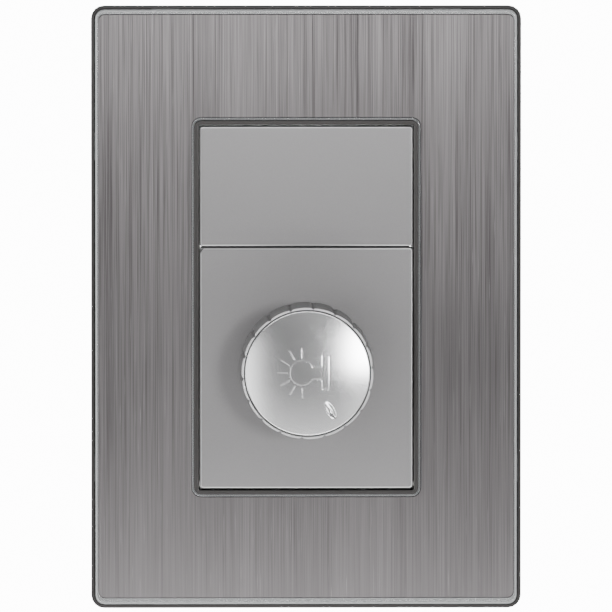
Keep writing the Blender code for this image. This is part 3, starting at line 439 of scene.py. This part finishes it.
def resistor_coat(name, node, bands):
    """Resistor: beige lacquer with colour bands, and tinned leads past the body."""
    finish = Finish(name)
    low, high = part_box(node)
    middle = (low.x + high.x) / 2
    reach = 3.6 * MM
    lead_from = 3.35 * MM
    beige = (0.5, 0.42, 0.28)
    along = finish.axis("X", middle - reach) / (2 * reach)
    stops = [(0.0, beige)]
    for place, colour in zip((0.2, 0.38, 0.56, 0.76), bands):
        stops += [(place, colour), (place + 0.07, beige)]
    ramp = finish.node("ValToRGB", {"stops": stops}, {"Fac": along})
    lead = finish.axis("X", middle).size().above(lead_from)
    grain = finish.cloud(0.2 * MM, 3.0)
    painted = finish.blend(grain * 0.25, ramp, (0.2, 0.16, 0.1))
    return finish.wear({
        "Base Color": finish.blend(lead, painted, (0.7, 0.7, 0.69)),
        "Metallic": lead * 0.95,
        "Roughness": 0.36 + (grain - 0.5) * 0.15 - lead * 0.08,
        "Coat Weight": 0.35 - lead * 0.35,
        "Coat Roughness": 0.15,
        "Normal": finish.relief(grain, 0.012 * MM),
    })


def fuse_glass():
    """Fuse: clear tube in the middle, plated caps at both ends."""
    finish = Finish("fuse_glass")
    low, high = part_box("fuse")
    cap_length = 5.2 * MM
    cap = finish.axis("X", (low.x + high.x) / 2).size().above((high.x - low.x) / 2 - cap_length)
    rub = finish.cloud(0.4 * MM, 3.0)
    glass = finish.shades(rub, (0.82, 0.87, 0.88), 0.06)
    return finish.wear({
        "Base Color": finish.blend(cap, glass, (0.72, 0.72, 0.7)),
        "Metallic": cap,
        "Roughness": 0.06 + cap * 0.2 + rub * 0.08,
        "Alpha": 0.35 + cap * 0.65,
        "IOR": 1.5,
    })


def make_finishes():
    """One finish for each slot of the record, and a lighter paint for the knob."""
    return {
        "charcoal_plastic": moulded("charcoal_plastic", (0.016, 0.0145, 0.014), 0.45, edge=1.7,
                                    index=1.33),
        "clear_acrylic": clear_acrylic(),
        "brushed_sheet_metal": brushed_sheet_metal(),
        "silver_paint": silver_paint("silver_paint", (0.142, 0.139, 0.141)),
        "knob_paint": silver_paint("knob_paint", (0.17, 0.168, 0.17)),
        "satin_cap": satin_cap(),
        "plated_steel": bare_metal("plated_steel", (0.58, 0.59, 0.6), 0.34, (1, 1, 0.06), 0.3,
                                   (0.56, 0.55, 0.47)),
        "cast_zinc": bare_metal("cast_zinc", (0.48, 0.49, 0.5), 0.48, grain=0.35, depth=0.02),
        "aluminium": bare_metal("aluminium", (0.66, 0.67, 0.68), 0.38, (0.08, 1, 1), 0.2),
        "brass": bare_metal("brass", (0.68, 0.5, 0.22), 0.33, (1, 0.1, 1), 0.25, (0.5, 0.33, 0.14)),
        "light_nylon": moulded("light_nylon", (0.68, 0.68, 0.66), 0.45, 0.22, edge=1.1),
        "black_plastic": moulded("black_plastic", (0.02, 0.02, 0.021), 0.5, 0.24, 0.03, edge=2.2),
        "board_laminate": board_laminate(),
        "phenolic": fibre_board("phenolic", (0.24, 0.12, 0.05)),
        "ferrite": lacquered("ferrite", (0.08, 0.095, 0.085), 0.6, 0.0, 0.1, 0.2, 0.03),
        "enamelled_copper": lacquered("enamelled_copper", (0.6, 0.24, 0.09), 0.26, 0.9, 0.7),
        "yellow_case": lacquered("yellow_case", (0.66, 0.47, 0.05), 0.3, 0.0, 0.4),
        "resistor_coat": resistor_coat("resistor_coat", "resistor_1",
                                       ((0.5, 0.02, 0.02), (0.3, 0.02, 0.35), (0.55, 0.3, 0.02),
                                        (0.55, 0.4, 0.1))),
        "thermal_pad": lacquered("thermal_pad", (0.42, 0.45, 0.5), 0.75, 0.0, 0.0, 0.15, 0.01),
        "fuse_glass": fuse_glass(),
    }


# ---------------------------------------------------------------- pieces

def add_piece(name, mesh, finish, node):
    """Puts a mesh in the scene as the visible piece for a node of the model."""
    piece = bpy.data.objects.new(name, mesh)
    bpy.context.scene.collection.objects.link(piece)
    piece.data.materials.clear()
    piece.data.materials.append(finish)
    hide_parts(node)
    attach(piece, frame["nodes"][node]["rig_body"])
    return piece


def joined_copy(node):
    """A node's mesh with its triangles joined up and its flat faces made whole."""
    form = bmesh.new()
    form.from_mesh(frame["nodes"][node].data)
    bmesh.ops.remove_doubles(form, verts=form.verts, dist=1e-6)
    bmesh.ops.dissolve_limit(form, angle_limit=math.radians(0.5), verts=form.verts,
                             edges=form.edges)
    return form


def even_shading(mesh):
    """Smooth shading that keeps broad faces flat beside their small rounded edges."""
    for polygon in mesh.polygons:
        polygon.use_smooth = True
    holder = bpy.data.objects.new("holder", mesh)
    bpy.context.scene.collection.objects.link(holder)
    weigh = holder.modifiers.new("Weigh", "WEIGHTED_NORMAL")
    weigh.keep_sharp = True
    result = worked_out(holder)
    bpy.data.objects.remove(holder)
    return result


def worked_out(holder):
    """The plain mesh that an object's modifiers give."""
    graph = bpy.context.evaluated_depsgraph_get()
    return bpy.data.meshes.new_from_object(holder.evaluated_get(graph), depsgraph=graph)


def eased_mesh(node, width):
    """A node's shape with its sharp edges rounded; the rounded faces carry the edge mark."""
    form = joined_copy(node)
    edge = form.faces.layers.float.new("edge")
    sharp = math.radians(32)
    edges = [e for e in form.edges if len(e.link_faces) == 2 and e.calc_face_angle(0.0) > sharp]
    made = bmesh.ops.bevel(form, geom=edges, offset=width * MM, offset_type="OFFSET", segments=2,
                           profile=0.5, affect="EDGES", clamp_overlap=True)
    for face in made["faces"]:
        face[edge] = 1.0
    form.normal_update()
    # Faces turned partly towards the front carry the mark too; the finishes paint every marked face
    # lighter, as a painted highlight and partly as wear.
    for face in form.faces:
        if 0.2 < -face.normal.y < 0.97:
            face[edge] = 1.0
    bmesh.ops.triangulate(form, faces=[f for f in form.faces if len(f.verts) > 4])
    mesh = bpy.data.meshes.new(node + ".eased")
    form.to_mesh(mesh)
    form.free()
    return even_shading(mesh)


def ease_edges(node, width, slot, finishes):
    """Stands a node's rounded shape in for it."""
    return add_piece(node + ".piece", eased_mesh(node, width), finishes[slot], node)


# ---------------------------------------------------------------- knob

def turned_mesh(name, rows, steps, marks, level=KNOB_Z):
    """A turned form at a height from rows of radius, depth and mark values, ends closed."""
    form = bmesh.new()
    layers = [form.verts.layers.float.new(mark) for mark in marks]
    rings = []
    for radius, y, *values in rows:
        ring = []
        for step in range(steps):
            turn = 2 * math.pi * step / steps
            place = (MM * radius * math.cos(turn), MM * y, MM * (level + radius * math.sin(turn)))
            vert = form.verts.new(place)
            for layer, value in zip(layers, values):
                vert[layer] = value
            ring.append(vert)
        rings.append(ring)
    for first, second in zip(rings, rings[1:]):
        for step in range(steps):
            after = (step + 1) % steps
            form.faces.new((first[step], first[after], second[after], second[step]))
    form.faces.new(rings[0])
    form.faces.new(rings[-1][::-1])
    bmesh.ops.recalc_face_normals(form, faces=form.faces)
    mesh = bpy.data.meshes.new(name)
    form.to_mesh(mesh)
    form.free()
    return mesh


def started_tree(name, inputs):
    """A Geometry Nodes tree with named number inputs, and its inputs as values."""
    tree = bpy.data.node_groups.new(name, "GeometryNodeTree")
    graph = Graph(tree)
    face = tree.interface
    face.new_socket("Geometry", in_out="INPUT", socket_type="NodeSocketGeometry")
    for title in inputs:
        face.new_socket(title, in_out="INPUT", socket_type="NodeSocketFloat")
    face.new_socket("Geometry", in_out="OUTPUT", socket_type="NodeSocketGeometry")
    entry = tree.nodes.new("NodeGroupInput")
    return graph, {socket.name: Value(graph, socket) for socket in entry.outputs if socket.name}


def finished_tree(graph, geometry, finish):
    """Ends a Geometry Nodes tree in one real mesh with its material."""
    whole = graph.node("RealizeInstances", inputs={"Geometry": geometry})
    dressed = graph.node("SetMaterial", inputs={"Geometry": whole, "Material": finish})
    leave = graph.tree.nodes.new("NodeGroupOutput")
    graph.tree.links.new(dressed.socket, leave.inputs[0])
    return graph.tree


def pushed_in(graph, geometry, x, z, depth, mark):
    """Moves points towards the Y axis through x = z = 0 by a depth, as far as their mark says."""
    weight = graph.node("InputNamedAttribute", {"data_type": "FLOAT"}, {"Name": mark})
    outward = graph.node("CombineXYZ", inputs={0: x, 2: z})
    outward = graph.node("VectorMath", {"operation": "NORMALIZE"}, {0: outward})
    shift = graph.node("VectorMath", {"operation": "SCALE"},
                       {0: outward, "Scale": depth * weight * -1.0})
    return graph.node("SetPosition", inputs={"Geometry": geometry, "Offset": shift})


def fluting_tree(finish):
    """Geometry Nodes: cuts narrow grooves between shallow crowns round a turned knob."""
    names = ("Grooves", "Groove Depth", "Groove Width", "Crown", "Phase")
    graph, known = started_tree("fluting", names)
    place = graph.node("InputPosition")
    x = graph.node("SeparateXYZ", inputs={0: place}, out=0)
    z = graph.node("SeparateXYZ", inputs={0: place}, out=2) - KNOB_Z * MM
    turn = z.maths("ARCTAN2", z, x) / (2 * math.pi) + 1.0
    lobe = ((turn - known["Phase"] / 360.0) * known["Grooves"] + known["Grooves"]).part()
    off = (lobe - 0.5).size()
    crown = off * off * 4.0 * known["Crown"]
    groove = (0.5 - off) / known["Groove Width"]
    cut = (groove * groove * -1.0).falling() * known["Groove Depth"]
    moved = pushed_in(graph, known["Geometry"], x, z, crown + cut, "flute")
    return finished_tree(graph, moved, finish)


def thread_tree(finish):
    """Geometry Nodes: cuts a screw thread into a rod along Y."""
    graph, known = started_tree("thread", ("Pitch", "Depth", "Level"))
    place = graph.node("InputPosition")
    x, y, z = (graph.node("SeparateXYZ", inputs={0: place}, out=axis) for axis in range(3))
    z = z - known["Level"]
    turn = z.maths("ARCTAN2", z, x) / (2 * math.pi)
    slope = ((y / known["Pitch"] + turn + 50.0).part() - 0.5).size() * 2.0
    moved = pushed_in(graph, known["Geometry"], x, z, slope * known["Depth"], "thread")
    return finished_tree(graph, moved, finish)


def winding_tree(finish):
    """Geometry Nodes: leads a wire in turns round a ring core, from one end to the other."""
    names = ("Turns", "Start", "Sweep", "Ring", "Reach", "Rise", "Middle X", "Middle Y",
             "Middle Z", "Wire")
    graph, known = started_tree("winding", names)
    steps_a_turn = 22.0
    squareness = 1.35
    count = known["Turns"] * steps_a_turn
    line = graph.node("MeshLine", inputs={"Count": count})
    part = graph.node("InputIndex") / count
    sweep = known["Start"] + part * known["Sweep"]
    turn = part * known["Turns"] * (2 * math.pi)
    reach = (turn.maths("COSINE", turn) * squareness).within(-1.0, 1.0)
    rise = (turn.maths("SINE", turn) * squareness).within(-1.0, 1.0)
    radius = known["Ring"] + reach * known["Reach"]
    x = known["Middle X"] + radius * sweep.maths("COSINE", sweep)
    y = known["Middle Y"] + rise * known["Rise"]
    z = known["Middle Z"] + radius * sweep.maths("SINE", sweep)
    place = graph.node("CombineXYZ", inputs={0: x, 1: y, 2: z})
    bent = graph.node("SetPosition", inputs={"Geometry": line, "Position": place})
    path = graph.node("MeshToCurve", inputs={"Mesh": bent})
    section = graph.node("CurvePrimitiveCircle", inputs={"Resolution": 8, "Radius": known["Wire"]})
    wire = graph.node("CurveToMesh", inputs={"Curve": path, "Profile Curve": section,
                                             "Fill Caps": True})
    return finished_tree(graph, graph.node("SetShadeSmooth", inputs={"Geometry": wire}), finish)


def grown(mesh, tree, values):
    """The plain mesh that a Geometry Nodes tree makes from a mesh and its named inputs."""
    holder = bpy.data.objects.new("holder", mesh)
    bpy.context.scene.collection.objects.link(holder)
    modifier = holder.modifiers.new("Growth", "NODES")
    modifier.node_group = tree
    for item in tree.interface.items_tree:
        if item.in_out == "INPUT" and item.name in values:
            modifier[item.identifier] = values[item.name]
    result = worked_out(holder)
    bpy.data.objects.remove(holder)
    return result


def make_knob(finishes):
    """Fluted knob body with a rolled rim round the cap, carrying the edge mark so it is painted
    lighter: partly paint wear, partly a painted highlight.
    """
    rim = KNOB_RIM
    draft = 0.12
    rounding = 0.24
    bore = 3.1
    hub = 4.7
    hub_end = -12.8
    floor = rim + 3.6
    inside = 10.9
    mouth = 11.3
    rows = [
        (bore, rim + 1.9, 0, 0), (bore, hub_end - 0.2, 0, 0), (bore + 0.2, hub_end, 0, 0),
        (hub - 0.2, hub_end, 0, 0), (hub, hub_end - 0.2, 0, 0), (hub, floor, 0, 0),
        (inside, floor, 0, 0), (mouth, KNOB_BACK - 0.15, 0, 0), (mouth + 0.15, KNOB_BACK, 0, 0),
        (KNOB_RADIUS - 0.12, KNOB_BACK, 1, 0), (KNOB_RADIUS - 0.03, KNOB_BACK - 0.05, 1, 0),
        (KNOB_RADIUS, KNOB_BACK - 0.12, 1, 0),
    ]
    for step in range(1, 12):
        part = step / 12
        rows.append((KNOB_RADIUS - draft * part, KNOB_BACK + (rim + 0.75 - KNOB_BACK) * part, 1, 0))
    # The rounded rim and the seat carry the edge mark, which the paint turns lighter as a painted
    # highlight and partly as wear.
    for step in range(9):
        turn = math.radians(90 * step / 8)
        radius = KNOB_RADIUS - draft - rounding * (1 - math.cos(turn))
        rows.append((radius, rim + 0.4 - 0.4 * math.sin(turn), 1 - 0.45 * step / 8, step / 8))
    rows += [
        (SEAT_RADIUS + 0.12, rim + 0.01, 0.1, 1), (SEAT_RADIUS + 0.05, rim + 0.05, 0, 1),
        (SEAT_RADIUS + 0.01, rim + 0.12, 0, 0.5), (SEAT_RADIUS, rim + 0.25, 0, 0),
        (SEAT_RADIUS, rim + 1.1, 0, 0),
    ]
    blank = turned_mesh("knob.blank", rows, KNOB_GROOVES * 30, ("flute", "edge"))
    sizes = {"Grooves": float(KNOB_GROOVES), "Groove Depth": 0.4 * MM, "Groove Width": 0.055,
             "Crown": 0.13 * MM, "Phase": GROOVE_PHASE}
    mesh = grown(blank, fluting_tree(finishes["knob_paint"]), sizes)
    add_piece("knob.piece", even_shading(mesh), finishes["knob_paint"], "knob")


def make_fixing_screw(node, finishes):
    """Pan-head screw with a rounded head, a thread down its shank and a cross recess."""
    low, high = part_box(node)
    level = (low.z + high.z) / 2 / MM
    front, end = low.y / MM, high.y / MM
    shank = 1.65
    head = 3.2
    head_height = 1.6
    crown_height = 1.1
    crown_width = 2.6
    seat = front + head_height
    brim = front + crown_height
    rows = [(0.7, end, 0), (1.1, end - 0.3, 0.3)]
    rows += [(shank, y, 1) for y in np.arange(end - 0.7, seat + 1.2, -0.1)]
    rows += [(1.5, seat + 1.1, 0), (1.5, seat + 0.02, 0), (head - 0.1, seat, 0),
             (head, seat - 0.1, 0), (head, brim, 0)]
    for step in range(1, 10):
        turn = math.radians(10 * step)
        radius = head - crown_width + crown_width * math.cos(turn)
        rows.append((radius, brim - crown_height * math.sin(turn), 0))
    blank = turned_mesh(node + ".blank", rows, 32, ("thread",), level)
    sizes = {"Pitch": 0.8 * MM, "Depth": 0.35 * MM, "Level": level * MM}
    mesh = grown(blank, thread_tree(finishes["plated_steel"]), sizes)
    mesh = recessed(mesh, (0.0, front + 0.3, level), (1.9, 0.7, 0.32))
    add_piece(node + ".piece", even_shading(mesh), finishes["plated_steel"], node)


def recessed(mesh, centre, half):
    """A mesh with a cross recess cut in, from its centre and its half length, depth and width."""
    holder = bpy.data.objects.new("holder", mesh)
    bpy.context.scene.collection.objects.link(holder)
    tools = []
    for reach in ((half[0], half[2]), (half[2], half[0])):
        form = bmesh.new()
        bmesh.ops.create_cube(form, size=2.0)
        for vert in form.verts:
            side = (vert.co.x * reach[0], vert.co.y * half[1], vert.co.z * reach[1])
            vert.co = [MM * (c + s) for c, s in zip(centre, side)]
        tool_mesh = bpy.data.meshes.new("recess")
        form.to_mesh(tool_mesh)
        form.free()
        tool = bpy.data.objects.new("recess", tool_mesh)
        bpy.context.scene.collection.objects.link(tool)
        cut = holder.modifiers.new("Cut", "BOOLEAN")
        cut.object = tool
        cut.solver = "EXACT"
        tools.append(tool)
    result = worked_out(holder)
    for spare in (holder, *tools):
        bpy.data.objects.remove(spare)
    return result


def make_winding(finishes):
    """Copper wire wound round the choke's core."""
    low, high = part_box("choke_winding")
    core_low, core_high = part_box("choke_core")
    ring = 6.25 * MM
    sizes = {"Turns": 29.0, "Start": math.radians(-66), "Sweep": math.radians(312), "Ring": ring,
             "Reach": 2.25 * MM, "Rise": 3.5 * MM, "Middle X": (core_low.x + core_high.x) / 2,
             "Middle Y": (low.y + high.y) / 2, "Middle Z": (core_low.z + core_high.z) / 2,
             "Wire": 0.32 * MM}
    slot = "enamelled_copper"
    mesh = grown(bpy.data.meshes.new("winding.blank"), winding_tree(finishes[slot]), sizes)
    add_piece("choke_winding.piece", mesh, finishes[slot], "choke_winding")


def smooth(distance, low, high):
    """1 at or under low, 0 at or over high, smooth between."""
    part = np.clip((high - distance) / (high - low), 0, 1)
    return part * part * (3 - 2 * part)


def lamp_mark():
    """Line segments of the lamp mark, as pairs of points from the cap's centre."""
    left, right, foot, top = FLANGE
    lines = []
    for angle in RAY_ANGLES:
        ray = np.array((math.cos(math.radians(angle)), math.sin(math.radians(angle))))
        lines.append((BULB_CENTRE + RAY_INNER * ray, BULB_CENTRE + RAY_OUTER * ray))
    opening = math.asin((NECK_TOP - NECK_FOOT) / 2 / BULB_RADIUS)
    turns = np.linspace(opening, 2 * math.pi - opening, 49)
    ring = [(BULB_CENTRE[0] + BULB_RADIUS * math.cos(t), BULB_CENTRE[1] + BULB_RADIUS * math.sin(t))
            for t in turns]
    outline = [(left, top), (left, NECK_TOP), *ring, (left, NECK_FOOT), (left, foot)]
    outline += [(right, foot), (right, top), (left, top)]
    lines += list(zip(outline, outline[1:]))
    return lines


def distance_to(lines, u, v):
    """Distance from each point to the nearest of the line segments."""
    nearest = np.full(u.shape, 1e3)
    for start, end in lines:
        start, end = np.array(start, float), np.array(end, float)
        span = end - start
        length = max(span @ span, 1e-12)
        share = np.clip(((u - start[0]) * span[0] + (v - start[1]) * span[1]) / length, 0, 1)
        gap = np.hypot(u - start[0] - share * span[0], v - start[1] - share * span[1])
        nearest = np.minimum(nearest, gap)
    return nearest


def cap_radii():
    """Radii of the cap's rings: finest where the pointer lies, then a rounded rim."""
    near, far = 6.2, 10.8
    radii = [0.02, *np.arange(0.1, near, 0.1), *np.arange(near, far, 0.07)]
    radii += list(np.arange(far, CAP_RADIUS - 0.26, 0.12))
    for step in range(7):
        turn = math.radians(90 * step / 6)
        radii.append(CAP_RADIUS - CAP_ROUNDING * (1 - math.sin(turn)))
    return np.array(radii)


def cap_height(u, v, line):
    """Height of the cap's face at points across it, with the lamp mark and the pointer sunk in."""
    r = np.hypot(u, v)
    edge = np.clip((r - CAP_RADIUS + CAP_ROUNDING) / CAP_ROUNDING, 0, 1)
    height = CAP_RISE * (1 - (r / CAP_RADIUS) ** 2) - CAP_ROUNDING * (1 - np.sqrt(1 - edge ** 2))
    turn = math.radians(LEAF_ANGLE)
    du, dv = u - LEAF_CENTRE[0], v - LEAF_CENTRE[1]
    length = (du * math.cos(turn) + dv * math.sin(turn)) / LEAF_HALF_LENGTH
    across = (-du * math.sin(turn) + dv * math.cos(turn)) / LEAF_HALF_WIDTH
    leaf = np.clip(1 - length ** 2 - across ** 2, 0, 1) ** 1.5
    return height - LINE_DEPTH * line - LEAF_DEPTH * leaf


def make_knob_cap(finishes):
    """Domed cap with the lamp mark and the leaf-shaped pointer sunk into it."""
    steps = 480
    turns = np.arange(steps) * 2 * math.pi / steps
    r, t = np.meshgrid(cap_radii(), turns, indexing="ij")
    u, v = r * np.cos(t), r * np.sin(t)
    line = smooth(distance_to(lamp_mark(), u, v), LINE_WIDTH * 0.28, LINE_WIDTH * 0.62)
    front = CAP_EDGE - cap_height(u, v, line)
    verts = np.stack((u * MM, front * MM, (KNOB_Z + v) * MM), -1).reshape(-1, 3)
    form = bmesh.new()
    layer = form.verts.layers.float.new("engraved")
    made = [form.verts.new(place) for place in verts]
    for vert, share in zip(made, line.reshape(-1)):
        vert[layer] = share
    rings = [made[start:start + steps] for start in range(0, len(made), steps)]
    rings.append([form.verts.new((x, MM * (CAP_EDGE + CAP_SIDE), z)) for x, _, z in verts[-steps:]])
    for first, second in zip(rings, rings[1:]):
        for step in range(steps):
            after = (step + 1) % steps
            form.faces.new((first[step], first[after], second[after], second[step]))
    form.faces.new(rings[0])
    form.faces.new(rings[-1])
    bmesh.ops.recalc_face_normals(form, faces=form.faces)
    mesh = bpy.data.meshes.new("knob_cap.fine")
    form.to_mesh(mesh)
    form.free()
    for polygon in mesh.polygons:
        polygon.use_smooth = True
    add_piece("knob_cap.piece", mesh, finishes["satin_cap"], "knob_cap")


# ---------------------------------------------------------------- the whole object

EASED = {
    "base_frame": 0.12, "cover_plate": 0.1, "brushed_sheet": 0.05, "yoke": 0.15,
    "blank_module": 0.16, "dimmer_face": 0.16, "module_frame": 0.12, "rear_housing": 0.25,
    "terminal_block": 0.08,
}


def dress_nodes(finishes):
    """Gives every node the finish of its slot, and rounds the edges of the main ones."""
    slots = {}
    for name, node in frame["nodes"].items():
        slot = node.data.materials[0].name.split(".")[0]
        slots[name] = slot
    for name, slot in slots.items():
        frame["nodes"][name].data.materials.clear()
        frame["nodes"][name].data.materials.append(finishes[slot])
    for name, width in EASED.items():
        ease_edges(name, width, slots[name], finishes)


# ---------------------------------------------------------------- studio

CAMERA_DISTANCE = 3.0
CAMERA_RISE = 3.2
CAMERA_SWING = -0.9
FRAME_ACROSS = 121.8


def direction(azimuth, elevation):
    """Unit vector away from the object, at angles in degrees from straight in front."""
    a, e = math.radians(azimuth), math.radians(elevation)
    return Vector((math.sin(a) * math.cos(e), -math.cos(a) * math.cos(e), math.sin(e)))


def make_camera():
    """A long lens, a little above and to the left of straight in front."""
    data = bpy.data.cameras.new("camera")
    data.sensor_width = 36.0
    data.lens = data.sensor_width * CAMERA_DISTANCE / (FRAME_ACROSS * MM)
    data.clip_start = 0.1
    data.clip_end = 20.0
    camera = bpy.data.objects.new("camera", data)
    bpy.context.scene.collection.objects.link(camera)
    back = direction(CAMERA_SWING, CAMERA_RISE)
    aim = Vector((0.03 * MM, -3.4 * MM, 0.0))
    camera.location = aim + back * CAMERA_DISTANCE
    camera.rotation_euler = (-back).to_track_quat("-Z", "Y").to_euler()
    bpy.context.scene.camera = camera


def add_softbox(name, azimuth, elevation, distance, size, power, aim=(0, -0.01, -0.012)):
    """A rectangular lamp at an angle from straight in front, aimed at the object."""
    data = bpy.data.lights.new(name, "AREA")
    data.shape = "RECTANGLE"
    data.size, data.size_y = size
    data.energy = power
    lamp = bpy.data.objects.new(name, data)
    bpy.context.scene.collection.objects.link(lamp)
    back = direction(azimuth, elevation)
    lamp.location = Vector(aim) + back * distance
    lamp.visible_camera = False
    lamp.rotation_euler = (-back).to_track_quat("-Z", "Y").to_euler()


# Glowing panels far round the object: azimuth, elevation, half width, half height and soft edge
# in degrees, then brightness. Azimuth 0 is straight in front and positive to the right.
PANELS = {
    "right_panel": (16.0, 2.5, 4.5, 5.0, 1.5, 46.0),
    "left_panel": (-18.0, -7.0, 5.5, 13.0, 3.0, 5.6),
    "low_panel": (0.0, -21.0, 40.0, 10.0, 6.0, 1.1),
    "right_low_panel": (20.0, -13.0, 8.0, 5.0, 4.0, 1.5),
    "front_panel": (0.0, -3.0, 12.0, 5.0, 5.0, 0.05),
    "left_wall": (-85.0, 0.0, 38.0, 30.0, 12.0, 0.9),
    "right_wall": (85.0, 0.0, 38.0, 30.0, 12.0, 0.9),
    "left_strip": (-62.0, 0.0, 10.0, 22.0, 6.0, 14.0),
    "right_strip": (62.0, 0.0, 7.0, 22.0, 6.0, 5.0),
}
ROOM_GLOW = 0.1
BACKGROUND = 17.0


def panel_glow(azimuth, elevation, panel):
    """How bright one panel is in a direction."""
    middle, height, half_width, half_height, soft, glow = panel
    aside = (azimuth - middle).size().ease(half_width + soft, half_width - soft)
    above = (elevation - height).size().ease(half_height + soft, half_height - soft)
    return aside * above * glow


def light_studio():
    """Soft lamps close to the plate and behind it, and a room of glowing panels."""
    add_softbox("key_low", 0, -40, 0.45, (0.3, 0.12), 0.5)
    add_softbox("top_near", 0, 5, 0.13, (0.13, 0.03), 0.112, (0, -0.01, 0.045))
    add_softbox("foot_near", 0, -16, 0.11, (0.14, 0.03), 0.105, (0, -0.01, -0.05))
    add_softbox("rear_fill", 160, 30, 1.2, (0.9, 0.9), 12.0)
    world = bpy.data.worlds.new("studio")
    world.use_nodes = True
    graph = Graph(world.node_tree)
    way = graph.node("TexCoord", out="Generated")
    x, y, z = (graph.node("SeparateXYZ", inputs={0: way}, out=axis) for axis in range(3))
    degrees = 180 / math.pi
    azimuth = x.maths("ARCTAN2", x, y * -1.0) * degrees
    elevation = z.maths("ARCSINE", z) * degrees
    glow = sum(panel_glow(azimuth, elevation, panel) for panel in PANELS.values()) + ROOM_GLOW
    seen = graph.node("LightPath", out="Is Camera Ray")
    light = glow * (1 - seen) + seen * BACKGROUND
    output = world.node_tree.nodes.new("ShaderNodeOutputWorld")
    shown = graph.node("Background", inputs={"Strength": light})
    world.node_tree.links.new(shown.socket, output.inputs[0])
    bpy.context.scene.world = world


def lay_floor():
    """Pale floor under the object."""
    half = 1.0
    level = -0.4
    corners = [(-half, -half, level), (half, -half, level), (half, half, level),
               (-half, half, level)]
    mesh = bpy.data.meshes.new("floor")
    mesh.from_pydata(corners, [], [(0, 1, 2, 3)])
    floor = bpy.data.objects.new("floor", mesh)
    bpy.context.scene.collection.objects.link(floor)
    finish = Finish("floor_paper")
    tooth = finish.cloud(1.5 * MM, 3.0)
    mesh.materials.append(finish.wear({
        "Base Color": finish.shades(tooth, (0.82, 0.82, 0.82), 0.02),
        "Roughness": 0.85 + (tooth - 0.5) * 0.1,
    }))


def main():
    """Builds the pieces, the studio and the floor."""
    finishes = make_finishes()
    dress_nodes(finishes)
    make_knob(finishes)
    make_knob_cap(finishes)
    for number in (1, 2):
        make_fixing_screw(f"fixing_screw_{number}", finishes)
    make_winding(finishes)
    make_camera()
    light_studio()
    lay_floor()


main()
